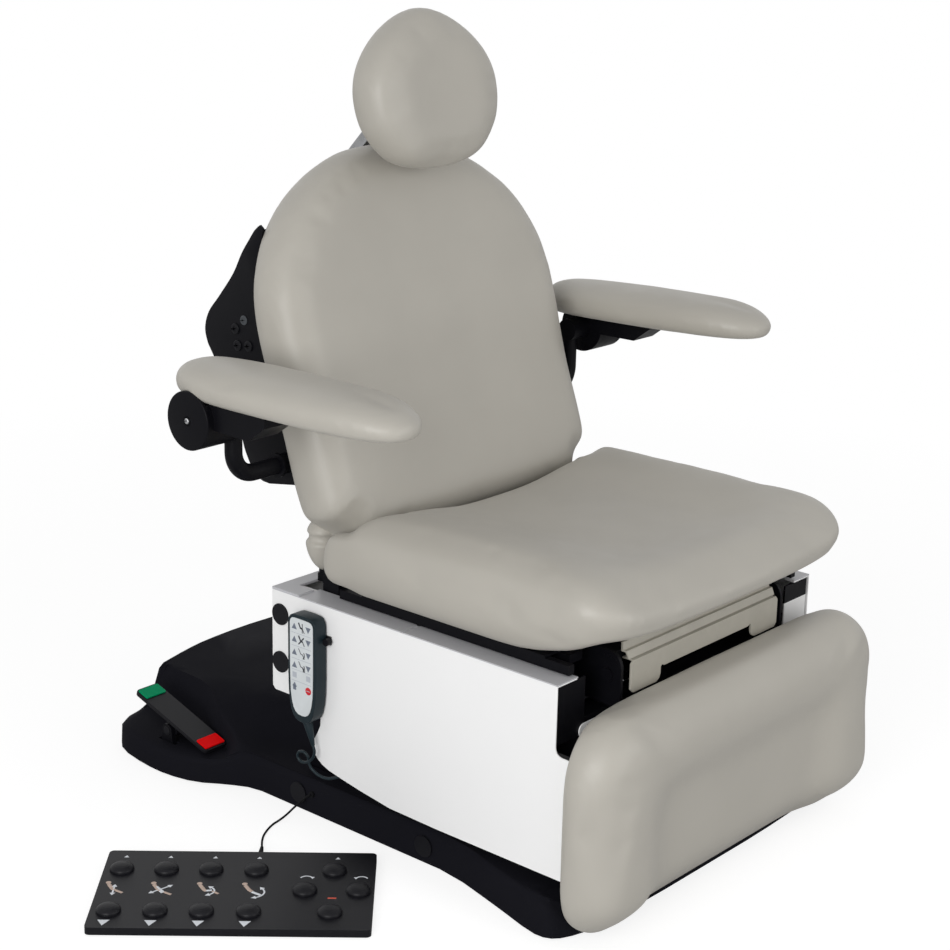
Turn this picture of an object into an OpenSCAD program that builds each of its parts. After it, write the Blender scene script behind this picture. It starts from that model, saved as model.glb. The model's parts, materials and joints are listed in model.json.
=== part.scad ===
// Podiatry chair with a scissor lift, powered seat, back and leg sections
// Units are millimetres, +Z is up and the patient faces -Y

/* [Cushions] */
// half width of the seat, back and leg cushions
cushion_half_w = 336; // [300:1:360]
// rear end of the seat cushion
seat_rear_y = -89; // [-120:1:-60]
// front end of the seat cushion
seat_front_y = -632; // [-680:1:-580]
// flat underside of the seat cushion
seat_under_z = 416; // [400:1:440]
// top of the seat cushion's side bolsters
seat_bolster_z = 553; // [520:1:580]
// depth of the sitting hollow
seat_dish = 26; // [0:1:40]
// length of the back cushion along the back
back_len = 634; // [560:1:700]
// thickness of the back cushion
back_thick = 93; // [60:1:120]
// recline of the back from upright, in degrees
back_lean = 18; // [5:1:30]
// half width of the leg cushion
leg_half_w = 381; // [340:1:400]
// top of the leg cushion
leg_top_z = 360; // [330:1:380]
// foot end of the leg cushion
leg_foot_z = 20; // [10:1:60]
// crown of the leg cushion
leg_front_y = -664; // [-700:1:-620]
// back plane of the leg cushion
leg_back_y = -548; // [-560:1:-540]
// depth of the hollow in the leg cushion
leg_hollow = 26; // [0:1:40]
// height of the headrest cushion along its own face
head_h = 256; // [220:1:300]
// thickness of the headrest cushion
head_thick = 84; // [60:1:110]
// tilt of the headrest from upright, in degrees
head_lean = 10; // [0:1:30]

/* [Arms] */
// distance of an arm pad's middle from the chair's middle
arm_x = 446; // [420:1:480]
// underside of an arm pad
arm_under_z = 737; // [700:1:780]
// top of an arm pad
arm_top_z = 794; // [760:1:840]
// radius of an arm hub
hub_r = 46; // [30:1:60]
// outer radius of an arm's bent tube
arm_tube_r = 14; // [10:0.5:20]
// height of the arm hub's axis
hub_z = 708; // [680:1:740]
// droop of the left arm's front end, in degrees
left_droop = -0.3; // [-3:0.1:3]
// droop of the right arm's front end, in degrees
right_droop = -1.6; // [-3:0.1:3]
// position of the arm hub's axis along the chair
hub_y = 50; // [20:1:90]

/* [Housing] */
// outer half width of the white housing
house_half_w = 334.6; // [300:0.2:360]
// sheet thickness of the housing panels
sheet = 2; // [1:0.1:4]
// width of the top flange
flange_w = 48; // [30:1:70]
// upper face of the top flange
flange_z = 394.5; // [380:0.5:410]
// radius of the round black plugs
plug_r = 18; // [10:0.5:25]

/* [Lift] */
// length of a scissor arm between its end pivots
arm_len = 560; // [500:1:600]
// angle of the scissor arms when lowered, in degrees
arm_rest_deg = 20; // [15:0.5:30]
// rear pivots of the scissor, along the chair
pivot_y = 28; // [0:1:60]
// height of the scissor's lower pivots
pivot_z = 85; // [70:1:110]
// half height of a scissor arm
arm_half_h = 20; // [15:1:24]
// thickness of a scissor arm
arm_plate = 10; // [6:0.5:14]
// radius of the scissor pins
pin_r = 12; // [8:0.5:16]
// radial clearance of a running pin
run_gap = 0.05; // [0.01:0.01:0.1]
// radius of the lift actuator's rod
rod_r = 12; // [8:0.5:20]

/* [Seat joints] */
// tilt pivot, along the chair
tilt_y = -24; // [-60:1:0]
// tilt pivot height
tilt_z = 425; // [410:1:440]
// back pivot, along the chair
recline_y = 8; // [-10:1:30]
// back pivot height
recline_z = 432; // [415:1:450]
// leg pivot, along the chair
legpin_y = -532; // [-550:1:-510]
// leg pivot height
legpin_z = 377; // [360:1:400]
// radius of the hinge shafts
shaft_r = 8; // [5:0.5:12]

/* [Base] */
// height of the base's side walls
base_side_h = 62; // [50:1:80]
// height of the rear lobes beside the hump
base_lobe_h = 47; // [30:1:60]
// height of the rear hump
base_hump_h = 116; // [90:1:150]
// wall of the moulded base cover
base_wall = 5; // [3:0.5:8]

/* [Foot control] */
// long side of the foot control
fc_len = 421; // [380:1:460]
// short side of the foot control
fc_depth = 243; // [200:1:280]
// upper face of the foot control
fc_top_z = 14; // [10:0.5:30]
// turn of the foot control about Z, in degrees
fc_turn = -48.07; // [-90:0.01:90]
// radius of a foot button
btn_r = 19; // [14:0.5:24]
// height of a foot button's crown over the plate
btn_h = 10.5; // [6:0.5:14]
// radius of the foot control's cord
cord_r = 1.8; // [1:0.1:3]

/* [Handset] */
// height of the handset
hs_h = 181; // [150:1:210]
// width of the handset
hs_w = 62; // [50:1:75]
// thickness of the handset
hs_t = 24; // [18:1:32]

/* [Hidden] */
c_up = [0.68, 0.66, 0.63];
c_black = [0.06, 0.06, 0.07];
c_steel = [0.16, 0.16, 0.17];
c_bright = [0.62, 0.63, 0.65];
c_white = [0.93, 0.93, 0.93];
c_slate = [0.13, 0.19, 0.22];
c_face = [0.85, 0.87, 0.88];
c_green = [0.06, 0.6, 0.42];
c_tan = [0.59, 0.49, 0.46];
c_red = [0.85, 0.04, 0.05];
c_rubber = [0.09, 0.09, 0.1];
fn_pin = 48;
fn_big = 72;
sa = sin(arm_rest_deg);
ca = cos(arm_rest_deg);
cross_y = pivot_y - arm_len / 2 * ca;
cross_z = pivot_z + arm_len / 2 * sa;
slide_y = pivot_y - arm_len * ca;
upper_z = pivot_z + arm_len * sa;
bore_r = pin_r + run_gap;
sbore_r = shaft_r + run_gap;
pedal_y = 322;
pedal_x = -314;
pedal_z = 66;
pedal_tilt = 17.5;
fc_mid = [-668.4, -196.2];
hs_y = -37;
hs_z = 196;
hs_x = -338;
// planes of the scissor arms
outer_x = 233;
inner_x = 217;
back_origin = [0, -50.7, 468];
half_back = back_thick / 2;

function clamp(x, a, b) = min(max(x, a), b);
function smooth(t) = let (u = clamp(t, 0, 1)) u * u * (3 - 2 * u);
function mirror_pts(p) = concat(p, [for (i = [len(p) - 1:-1:0]) if (abs(p[i][0]) > 0.01) [-p[i][0], p[i][1]]]);
function chaikin(p) = let (n = len(p)) [for (i = [0:n - 1]) let (a = p[i], b = p[(i + 1) % n])
  each [a * 0.75 + b * 0.25, a * 0.25 + b * 0.75]];
function arc(cx, cy, r, a0, a1, n) = [for (i = [0:n]) let (a = a0 + (a1 - a0) * i / n) [cx + r * cos(a), cy + r * sin(a)]];
function rrect(x0, y0, x1, y1, r, n) = concat(
  arc(x1 - r, y0 + r, r, -90, 0, n), arc(x1 - r, y1 - r, r, 0, 90, n),
  arc(x0 + r, y1 - r, r, 90, 180, n), arc(x0 + r, y0 + r, r, 180, 270, n));
function rrect2(x0, y0, x1, y1, ra, rb, n) = concat(
  arc(x1 - ra, y0 + ra, ra, -90, 0, n), arc(x1 - rb, y1 - rb, rb, 0, 90, n),
  arc(x0 + rb, y1 - rb, rb, 90, 180, n), arc(x0 + ra, y0 + ra, ra, 180, 270, n));
function stadium(y0, z0, y1, z1, r) = let (a = atan2(z1 - z0, y1 - y0)) concat(
  arc(y1, z1, r, a - 90, a + 90, 16), arc(y0, z0, r, a + 90, a + 270, 16));

// a closed shape swept between an upper and a lower surface over one outline
module soft(out, prof, cx, cy, T, B) {
  n = len(out);
  m = len(prof);
  function at(j, i) = let (x = cx + (out[i][0] - cx) * prof[j][0], y = cy + (out[i][1] - cy) * prof[j][0])
    [x, y, B(x, y) + prof[j][1] * (T(x, y) - B(x, y))];
  pts = concat([[cx, cy, T(cx, cy)]], [for (j = [0:m - 1]) for (i = [0:n - 1]) at(j, i)], [[cx, cy, B(cx, cy)]]);
  last = 1 + n * m;
  faces = concat(
    [for (i = [0:n - 1]) [0, 1 + (i + 1) % n, 1 + i]],
    [for (j = [0:m - 2]) for (i = [0:n - 1]) let (a = 1 + j * n + i, b = 1 + j * n + (i + 1) % n)
      each [[a, b, b + n], [a, b + n, a + n]]],
    [for (i = [0:n - 1]) let (k = 1 + (m - 1) * n) [last, k + i, k + (i + 1) % n]]);
  polyhedron(pts, faces, convexity = 6);
}

// edge profiles, as [share of the outline, share of the thickness]
pillow = [[0.22, 1], [0.42, 1], [0.6, 1], [0.74, 0.99], [0.84, 0.955], [0.91, 0.895], [0.96, 0.8], [0.99, 0.66],
  [1, 0.5], [0.992, 0.34], [0.972, 0.2], [0.94, 0.1], [0.9, 0.03], [0.85, 0], [0.4, 0]];
egg = [[0.2, 0.998], [0.4, 0.985], [0.6, 0.95], [0.76, 0.885], [0.88, 0.79], [0.955, 0.68], [0.992, 0.57],
  [1, 0.46], [0.99, 0.33], [0.96, 0.2], [0.9, 0.08], [0.82, 0.015], [0.74, 0], [0.35, 0]];

module yz(x0, x1) {
  translate([x0, 0, 0]) rotate([90, 0, 90]) linear_extrude(x1 - x0) children();
}

module both() {
  children();
  mirror([1, 0, 0]) children();
}

module xcyl(x0, x1, r, y, z, fn = 48) {
  translate([x0, y, z]) rotate([0, 90, 0]) cylinder(r = r, h = x1 - x0, $fn = fn);
}

module ycyl(y0, y1, r, x, z, fn = 48) {
  translate([x, y1, z]) rotate([90, 0, 0]) cylinder(r = r, h = y1 - y0, $fn = fn);
}

module box(x0, x1, y0, y1, z0, z1) {
  translate([x0, y0, z0]) cube([x1 - x0, y1 - y0, z1 - z0]);
}

// turned profile about Z, given as [radius, height] points
module turned(p, fn) {
  rotate_extrude($fn = fn) polygon(p);
}

// Base cover: outline, foot of the hump's wall and crest of the hump, point for point
base_keys = [[150, -583], [287, -577], [335, -563], [355, -545], [357, -515], [333, -430], [303, -310], [303, -210],
  [303, -110], [303, -10], [303, 70], [303, 140], [325, 184], [358, 232], [371, 290], [370, 350], [357, 426],
  [328, 464], [272, 478], [213, 492], [150, 505], [94, 515]];
foot_keys = [[150, -556], [272, -551], [312, -541], [330, -526], [335, -503], [313, -425], [289, -308], [289, -210],
  [289, -110], [289, -10], [289, 68], [290, 136], [309, 181], [289, 232], [274, 290], [246, 345], [251, 420],
  [256, 452], [243, 467], [208, 479], [148, 492], [94, 501]];
crest_keys = [[150, -520], [262, -516], [298, -510], [312, -500], [315, -480], [295, -415], [270, -304], [270, -210],
  [270, -110], [270, -10], [272, 66], [278, 133], [289, 180], [277, 232], [254, 290], [225, 345], [221, 418],
  [219, 444], [211, 458], [198, 466], [146, 478], [94, 486]];
base_mid_y = [-583, -556, -520, 520, 506, 491];
function round_trip(k, y0, y1) = chaikin(concat([[0, y0]], k, [[0, y1]], [for (i = [len(k) - 1:-1:0]) [-k[i][0], k[i][1]]]));
function drawn_in(k, o) = [for (q = k) [q[0] - o, q[1] - (q[1] > 400 ? o : 0)]];
crest_x = [[138, 302], [165, 297], [223, 281], [275, 262], [343, 225], [474, 219]];
crest_z = [[138, 62], [165, 70], [223, 85], [275, 100], [343, 114]];
crest_fall = [[180, 36], [225, 9], [260, 20], [400, 20], [440, 40]];
hump_front = [[150, 20], [230, 130]];
hump_ramp = [[150, 60], [230, 200]];
rear_y = [[0, 520], [94, 515], [213, 490], [268, 472], [322, 458], [366, 400]];
base_cy = -30;
front_slope = [[-590, 0.24], [-578, 0.29], [-570, 0.38], [-562, 0.52], [-556, 0.66], [-550, 0.8], [-544, 0.92], [-536, 0.98], [-525, 1]];
function hump_at(x, y, o = 0) = let (
  side = (base_side_h + (base_lobe_h - base_side_h) * smooth((y - 140) / 70)) * lookup(y - o / 2, front_slope),
  d = lookup(y, crest_x) - o - abs(x),
  crest = side + max(lookup(y, crest_z) - side, 0) * smooth((y - 100) / 40),
  k = smooth(d / 80) * smooth((y - lookup(abs(x), hump_front)) / lookup(abs(x), hump_ramp)),
  rise = (crest - side) * smooth((d + lookup(y, crest_fall)) / lookup(y, crest_fall)) + (base_hump_h - crest) * k)
  side + rise * smooth((lookup(abs(x), rear_y) + 24 - o - y) / 38);
cover_in = [0.28, 0.5, 0.66, 0.78, 0.88, 0.95];
cover_wall = [0, 0.25, 0.5, 0.75, 1];
cover_edge = [[0.972, 0.97], [0.988, 0.89], [0.997, 0.76], [1, 0], [0.5, 0]];

// one closed cover: rings run from the middle to the crest, down the wall to its foot and out to the edge
module cover(o, shrink, c, top, low) {
  out = round_trip(base_keys, base_mid_y[0], base_mid_y[3]) * shrink + [for (i = [0:2 * len(base_keys) * 2 + 3]) [0, base_cy * (1 - shrink)]];
  foot = round_trip(drawn_in(foot_keys, o), base_mid_y[1], base_mid_y[4] - o);
  crest = round_trip(drawn_in(crest_keys, o), base_mid_y[2], base_mid_y[5] - o);
  n = len(out);
  rings = concat(
    [for (k = cover_in) [[for (q = crest) c + (q - c) * k], 1]],
    [for (k = cover_wall) [[for (i = [0:n - 1]) crest[i] * (1 - k) + foot[i] * k], 1]],
    [[[for (i = [0:n - 1]) (foot[i] + out[i]) / 2], 1]],
    [for (e = cover_edge) [[for (q = out) c + (q - c) * e[0]], e[1]]]);
  m = len(rings);
  pts = concat([[c[0], c[1], top + hump_at(c[0], c[1], o)]],
    [for (j = [0:m - 1]) for (q = rings[j][0]) [q[0], q[1], low + rings[j][1] * (top + hump_at(q[0], q[1], o) - low)]],
    [[c[0], c[1], low]]);
  last = 1 + n * m;
  polyhedron(pts, concat(
    [for (i = [0:n - 1]) [0, 1 + (i + 1) % n, 1 + i]],
    [for (j = [0:m - 2]) for (i = [0:n - 1]) let (p = 1 + j * n + i, q = 1 + j * n + (i + 1) % n)
      each [[p, q, q + n], [p, q + n, p + n]]],
    [for (i = [0:n - 1]) let (k = 1 + (m - 1) * n) [last, k + i, k + (i + 1) % n]]), convexity = 8);
}

module base_shell() {
  color(c_black) difference() {
    cover(0, 1, [0, base_cy], 0, 3);
    cover(8, 0.983, [7, base_cy - 15], -base_wall, -4);
    box(-262, 262, -545, 62, -10, base_hump_h + 20);
    for (x = [pedal_x - 28, pedal_x + 18]) box(x, x + 10, pedal_y - 22, pedal_y + 22, -10, 80);
  }
}

module base_frame() {
  color(c_steel) difference() {
    union() {
      box(-292, 292, -548, 76, 10, 14);
      box(-205, 205, 76, 452, 10, 14);
      both() {
        box(190, 213, -528.5, -238, 60, pivot_z - 15.3);
        box(190, 213, -528.5, -514, 14, 60);
        box(190, 213, -258, -238, 14, 60);
        box(190, 213, -528.5, -238, pivot_z + 15.4, pivot_z + 21);
        box(190, 213, -528.5, -521, 60, pivot_z + 21);
        box(190, 213, -246, -238, 60, pivot_z + 21);
        yz(246, 258) polygon(concat([[0, 12], [60, 12]], arc(pivot_y, pivot_z, 24, -10, 190, 16)));
        // posts that carry the moulded cover
        for (y = [-400, -100, 20]) translate([272, y, 12]) cylinder(r = 8, h = base_side_h - base_wall - 12, $fn = 24);
        translate([120, 300, 12]) cylinder(r = 9, h = base_hump_h - base_wall - 12.6, $fn = 24);
      }
      // arm that reaches out under the left lobe and carries the pedal
      box(-340, -200, pedal_y - 24, pedal_y + 24, 10, 14);
      both_pedal_lugs();
    }
    both() xcyl(240, 262, bore_r, pivot_y, pivot_z);
    xcyl(pedal_x - 34, pedal_x + 36, sbore_r, pedal_y, pedal_z);
  }
}

module both_pedal_lugs() {
  for (x = [pedal_x - 27, pedal_x + 19]) yz(x, x + 8) polygon(concat([[pedal_y - 20, 12], [pedal_y + 20, 12]], arc(pedal_y, pedal_z, 12, 0, 180, 12)));
}

module rubber_feet() {
  color(c_rubber) {
    for (p = [[0, 0], [262, -500], [-262, -500], [262, 30], [-262, 30], [160, 420], [-160, 420]])
      translate([p[0], p[1], 0]) cylinder(r1 = 20, r2 = 23, h = 10, $fn = 40);
    fc() for (p = [[-195, 24], [195, 24], [-195, 219], [195, 219]])
      translate([p[0], p[1], 0]) cylinder(r1 = 7, r2 = 8, h = 2, $fn = 24);
  }
}

module base_plugs() {
  color(c_black) both() for (y = [33, -250]) xcyl(303, 305.4, plug_r, y, 31, 40);
}

module lift_actuator() {
  color(c_steel) difference() {
    union() {
      ycyl(-222, 150, 24, 0, 58, 48);
      box(-20, 20, -205, -165, 14, 50);
      box(-20, 20, 60, 100, 14, 50);
      box(-36, 36, 110, 190, 14, 90);
      ycyl(-230, -212, 28, 0, 58, 48);
    }
    ycyl(-240, 138, rod_r + 0.08, 0, 58, 48);
  }
}

module scissor_pair(x0, x1) {
  both() yz(x0, x1) children();
}

module lift_arms_outer() {
  color(c_steel) {
    both() yz(outer_x, outer_x + arm_plate) polygon(stadium(pivot_y, pivot_z, slide_y, upper_z, arm_half_h));
    both() xcyl(outer_x + arm_plate, 258, pin_r, pivot_y, pivot_z);
    both() xcyl(211, outer_x, pin_r, cross_y, cross_z);
    both() xcyl(207, 213, 17, cross_y, cross_z);
    both() xcyl(inner_x + arm_plate + 0.5, outer_x, 18, cross_y, cross_z);
    xcyl(-262, 262, pin_r, slide_y, upper_z);
    for (t = [60, 430]) xcyl(-outer_x, outer_x, 12, pivot_y - t * ca, pivot_z + t * sa);
  }
}

module lift_arms_inner() {
  color(c_steel) {
    difference() {
      both() yz(inner_x, inner_x + arm_plate) polygon(stadium(slide_y, pivot_z, pivot_y, upper_z, arm_half_h));
      both() xcyl(210, 234, bore_r, cross_y, cross_z);
    }
    both() xcyl(inner_x + arm_plate, 243, pin_r, pivot_y, upper_z);
    xcyl(-inner_x, inner_x, 14, pivot_y, upper_z);
    xcyl(-inner_x, inner_x, 12, slide_y + 130 * ca, pivot_z + 130 * sa);
    both() xcyl(192, inner_x, pin_r, slide_y, pivot_z);
  }
}

module glides_lower() {
  color(c_bright) difference() {
    union() {
      both() box(191.5, 213, slide_y - 15, slide_y + 15, pivot_z - 15, pivot_z + 15);
      box(-191.5, 191.5, slide_y - 12, slide_y + 12, pivot_z - 11, pivot_z + 11);
      box(-16, 16, slide_y - 12, slide_y + 12, 42, pivot_z);
    }
    both() xcyl(190, 220, bore_r, slide_y, pivot_z);
  }
}

module lift_rod() {
  color(c_bright) {
    ycyl(slide_y + 12, -140, rod_r, 0, 58, 48);
    ycyl(slide_y + 12, slide_y + 20, 15, 0, 58, 32);
  }
}

module glides_upper() {
  color(c_bright) difference() {
    both() box(246, 264, slide_y - 15, slide_y + 15, upper_z - 15, upper_z + 15);
    both() xcyl(240, 266, bore_r, slide_y, upper_z);
  }
}

beam_z = 298;
beam_top = 322;

module lift_platform() {
  color(c_black) difference() {
    union() {
      both() {
        box(245, 270, -527, -238, upper_z - 21.5, upper_z - 15.3);
        box(245, 270, -527, -238, upper_z + 15.3, beam_z + 1);
        box(265, 270, -527, -238, upper_z - 21.5, beam_z + 1);
        box(245, 286, -527, 52, beam_z, beam_top);
        yz(231, outer_x + arm_plate) polygon(concat([[56, beam_z + 2], [0, beam_z + 2]], arc(pivot_y, upper_z, 22, 190, 350, 16)));
        // seat tilt posts
        yz(276, 284) polygon(concat([[-44, beam_z + 10], [-4, beam_z + 10]], arc(tilt_y, tilt_z, 17, 0, 180, 20)));
        xcyl(262, 276, shaft_r, tilt_y, tilt_z);
        xcyl(284, 286, 13, tilt_y, tilt_z, 32);
      }
      box(-332.6, 332.6, -527, -497, beam_z, beam_top);
      box(-332.6, 332.6, -250, -225, beam_z, beam_top);
      box(-332.6, 332.6, 28, 56, beam_z, beam_top);
    }
    both() xcyl(229, 246, bore_r, pivot_y, upper_z);
  }
}

// dark shields that close the notches beside the leg section
module front_shields() {
  color(c_black) both() box(266, 331, -530.5, -527.3, beam_z, 389);
}

panel_pts = [[59, 392.5], [-533, 392.5], [-533, 298], [-533.8, 293.5], [-536, 289.5], [-539.5, 286.8], [-545, 285.5], [-562, 285], [-562, 90],
  [-306, 90], [-205, 92], [-140, 101], [-99, 108], [-70, 113.5], [-55, 119], [-43, 127], [-35, 137], [-33.5, 146],
  [-36, 158], [-44, 172], [-50.5, 186], [-51, 198], [-46, 210], [-36, 217], [-22, 220], [53, 220], [59, 226]];

module side_panel() {
  yz(house_half_w - sheet, house_half_w) polygon(panel_pts);
  box(house_half_w - flange_w + 2, house_half_w - sheet, -533, 57, 390.5, 392.5);
  // returned edge at the rear corner
  box(house_half_w - 22, house_half_w - sheet, 57, 59, 226, 392.5);
}

module housing_left() {
  color(c_white) mirror([1, 0, 0]) side_panel();
}

module housing_right() {
  color(c_white) side_panel();
}

module housing_front() {
  front = concat([[332.6, 95], [332.6, 236], [255, 236], [255, 294]], arc(269, 305, 11, -90, 90, 12));
  color(c_white) translate([0, -531, 0]) rotate([90, 0, 0]) linear_extrude(sheet) polygon(mirror_pts(front));
}

module housing_rear() {
  color(c_white) box(-312.6, 312.6, 57, 59, 222, 392.5);
}

module housing_top_plates() {
  color(c_white) {
    both() {
      box(house_half_w - flange_w, house_half_w, -533, -229, 392.5, flange_z);
      box(house_half_w - flange_w, house_half_w, -226, -2, 392.5, flange_z);
    }
    difference() {
      box(-house_half_w, house_half_w, -2, 59, 392.5, 397);
      box(-300, 300, -10, 31, 390, 400);
    }
  }
}

module housing_plugs() {
  color(c_black) both() for (z = [354, 272]) xcyl(house_half_w, house_half_w + 2.4, plug_r, 39, z, 40);
}

// Handset, hung on the left panel. Local x runs forward, y up and z outward
module hs() {
  translate([hs_x, hs_y, hs_z]) rotate([90, 0, -90]) children();
}

hs_half = [[0, 0], [8, 0.6], [15, 3], [20.5, 8], [24.5, 17], [27.5, 30], [30, 48], [31, 80], [31, 150], [30.5, 160],
  [28, 169], [22, 176.5], [12, 180.2], [0, hs_h]];
hs_out = concat([for (i = [0:len(hs_half) - 1]) hs_half[i]], [for (i = [len(hs_half) - 2:-1:1]) [-hs_half[i][0], hs_half[i][1]]]);
hs_prof = [[0.5, 1], [0.86, 1], [0.92, 0.97], [0.965, 0.88], [0.99, 0.74], [1, 0.5], [0.985, 0.28], [0.95, 0.12], [0.9, 0], [0.4, 0]];

module handset_hook() {
  color(c_black) {
    box(hs_x, -house_half_w, hs_y - 16, hs_y + 16, hs_z + 90, hs_z + 150);
    box(hs_x, -house_half_w, hs_y - 40, hs_y, hs_z + 136, hs_z + 150);
    xcyl(hs_x - 9, hs_x, 6, hs_y - 38, hs_z + 143, 32);
  }
}

module handset_case() {
  color(c_slate) {
    hs() soft(hs_out, hs_prof, 0, 95, function (x, y) hs_t, function (x, y) 0);
    // tapered sleeve over the cord
    translate([-350, hs_y + 1, hs_z + 4]) rotate([162, 0, 0]) cylinder(r1 = 9, r2 = 3, h = 46, $fn = 32);
  }
}

module handset_keypad() {
  color(c_face) hs() {
    translate([0, 0, hs_t]) linear_extrude(0.8) polygon([for (p = hs_out) [p[0] * 0.84, 88 + (p[1] - 88) * 0.9]]);
    for (k = [0:3]) translate([0, 148 - k * 18, hs_t + 0.8]) {
      linear_extrude(0.5) polygon([[-20, -4.5], [-11, -4.5], [-15.5, 5]]);
      linear_extrude(0.5) polygon([[11, 4.5], [20, 4.5], [15.5, -5]]);
    }
    for (x = [-15.5, 15.5]) translate([x, 74, hs_t + 0.8]) cylinder(r = 4.5, h = 0.5, $fn = 24);
    translate([-15.5, 56, hs_t + 0.8]) linear_extrude(0.5) polygon([[-4.5, -4.5], [4.5, -4.5], [4.5, 1], [0, 5.5], [-4.5, 1]]);
    translate([15.5, 56, hs_t + 0.8]) cylinder(r = 5.5, h = 0.7, $fn = 32);
  }
}

// tube swept along a list of points
function unit(v) = v / norm(v);
function cr(a, b, c, d, t) = 0.5 * ((2 * b) + (c - a) * t + (2 * a - 5 * b + 4 * c - d) * t * t + (3 * b - a - 3 * c + d) * t * t * t);
function curve(p, k) = let (n = len(p)) concat([for (i = [0:n - 2]) for (j = [0:k - 1])
  cr(p[max(i - 1, 0)], p[i], p[i + 1], p[min(i + 2, n - 1)], j / k)], [p[n - 1]]);
function turn_frame(u, t) = unit(u - t * (u * t));
function frames(tans, i, u) = i >= len(tans) ? [] : let (w = turn_frame(u, tans[i])) concat([w], frames(tans, i + 1, w));

module tube(p, r, sides) {
  n = len(p);
  tans = [for (i = [0:n - 1]) unit(p[min(i + 1, n - 1)] - p[max(i - 1, 0)])];
  us = frames(tans, 0, abs(tans[0][2]) < 0.8 ? [0, 0, 1] : [1, 0, 0]);
  pts = [for (i = [0:n - 1]) let (u = us[i], w = cross(tans[i], u)) for (k = [0:sides - 1])
    p[i] + r * (cos(360 * k / sides) * u + sin(360 * k / sides) * w)];
  polyhedron(pts, concat(
    [[for (k = [0:sides - 1]) k]],
    [[for (k = [sides - 1:-1:0]) (n - 1) * sides + k]],
    [for (i = [0:n - 2]) for (k = [0:sides - 1]) let (a = i * sides + k, b = i * sides + (k + 1) % sides)
      each [[a, a + sides, b], [b, a + sides, b + sides]]]), convexity = 10);
}

// route of the handset cord, from the sleeve to its entry behind the side panel
hs_cord_pts = [[-350, -50, 156], [-350, -53, 147], [-350, -50, 136], [-350, -42, 127], [-350, -31, 121], [-351, -22, 121],
  [-352, -16, 128], [-352, -20, 137], [-351, -30, 139], [-349, -37, 132], [-347, -37, 121], [-345, -42, 111], [-342, -55, 103],
  [-338, -70, 101], [-332, -84, 105], [-326, -96, 112]];

module handset_cord() {
  color(c_slate) tube(curve(hs_cord_pts, 4), 2.4, 8);
}

// route of the foot control's cord, from the base to the foot control
fc_cord_pts = [[-307, 0, 38], [-312, 1, 37.5], [-320, 6, 32], [-333, 13, 20], [-345, 19, 9], [-358, 22, 3],
  [-374, 20, 2], [-392, 13, 2], [-410, 3, 2], [-424, -8, 2], [-437, -21, 4], [-450, -35, 7]];

module foot_cord() {
  color(c_black) tube(curve(fc_cord_pts, 5), cord_r, 8);
}

// Foot control. Local x runs along it and y into its depth from the front edge
module fc() {
  translate([fc_mid[0], fc_mid[1], 0]) rotate([0, 0, fc_turn]) children();
}

fc_btn = [[-182, 180], [-113, 180], [-44, 180], [26, 180], [-182, 50], [-113, 50], [-44, 50], [26, 50],
  [147, 180], [105, 117], [187, 117], [147, 50]];

module foot_control_case() {
  color(c_black) fc() difference() {
    translate([0, 0, 2]) linear_extrude(fc_top_z - 2) polygon(rrect(-fc_len / 2, 0, fc_len / 2, fc_depth, 8, 8));
    translate([0, 0, 3.5]) linear_extrude(fc_top_z - 6) polygon(rrect(-fc_len / 2 + 2, 2, fc_len / 2 - 2, fc_depth - 2, 6, 8));
    for (b = fc_btn) translate([b[0], b[1], 5]) cylinder(r = btn_r + 0.1, h = 20, $fn = fn_big);
    translate([26, fc_depth + 1, 7.6]) rotate([90, 0, 0]) cylinder(r = 3.2, h = 8, $fn = 32);
  }
}

module foot_cord_gland() {
  color(c_rubber) fc() translate([26, fc_depth - 4, 7.6]) rotate([-90, 0, 0]) difference() {
    union() {
      cylinder(r = 3.2, h = 5, $fn = 32);
      translate([0, 0, 4]) cylinder(r1 = 5, r2 = 2.6, h = 28, $fn = 32);
    }
    translate([0, 0, 30]) cylinder(r = 1.2, h = 4, $fn = 24);
  }
  // grommet where the cord leaves the base
  color(c_rubber) xcyl(-307, -303, 5, 0, 38, 32);
}

module foot_button(k) {
  color(c_black) fc() translate([fc_btn[k][0], fc_btn[k][1], 0]) turned([[0, 8.6], [20.6, 8.6], [20.6, 11], [btn_r, 11],
    [btn_r, 15], [18.7, 17.2], [17.6, 19.3], [15.6, 21.1], [12.6, 22.7], [8.6, 23.8], [4.4, fc_top_z + btn_h - 0.2],
    [0, fc_top_z + btn_h]], fn_big);
}

module foot_button_01() { foot_button(0); }
module foot_button_02() { foot_button(1); }
module foot_button_03() { foot_button(2); }
module foot_button_04() { foot_button(3); }
module foot_button_05() { foot_button(4); }
module foot_button_06() { foot_button(5); }
module foot_button_07() { foot_button(6); }
module foot_button_08() { foot_button(7); }
module foot_button_09() { foot_button(8); }
module foot_button_10() { foot_button(9); }
module foot_button_11() { foot_button(10); }
module foot_button_12() { foot_button(11); }

module pedal() {
  translate([pedal_x, pedal_y, pedal_z]) rotate([pedal_tilt, 0, 0]) children();
}

module brake_pedal() {
  color(c_black) pedal() {
    translate([0, 0, 14]) linear_extrude(7) polygon(rrect(-25, -97, 25, 97, 9, 8));
    xcyl(-18.4, 18.4, 15, 0, 0, 40);
    xcyl(-28, 28, shaft_r, 0, 0, 48);
  }
}

module pedal_pad(y) {
  pedal() translate([0, y, 21]) linear_extrude(2.5) polygon(rrect(-22, -13, 22, 13, 3, 4));
}

module pedal_pad_green() {
  color(c_green) pedal_pad(80);
}

module pedal_pad_red() {
  color(c_red) pedal_pad(-80);
}

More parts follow.
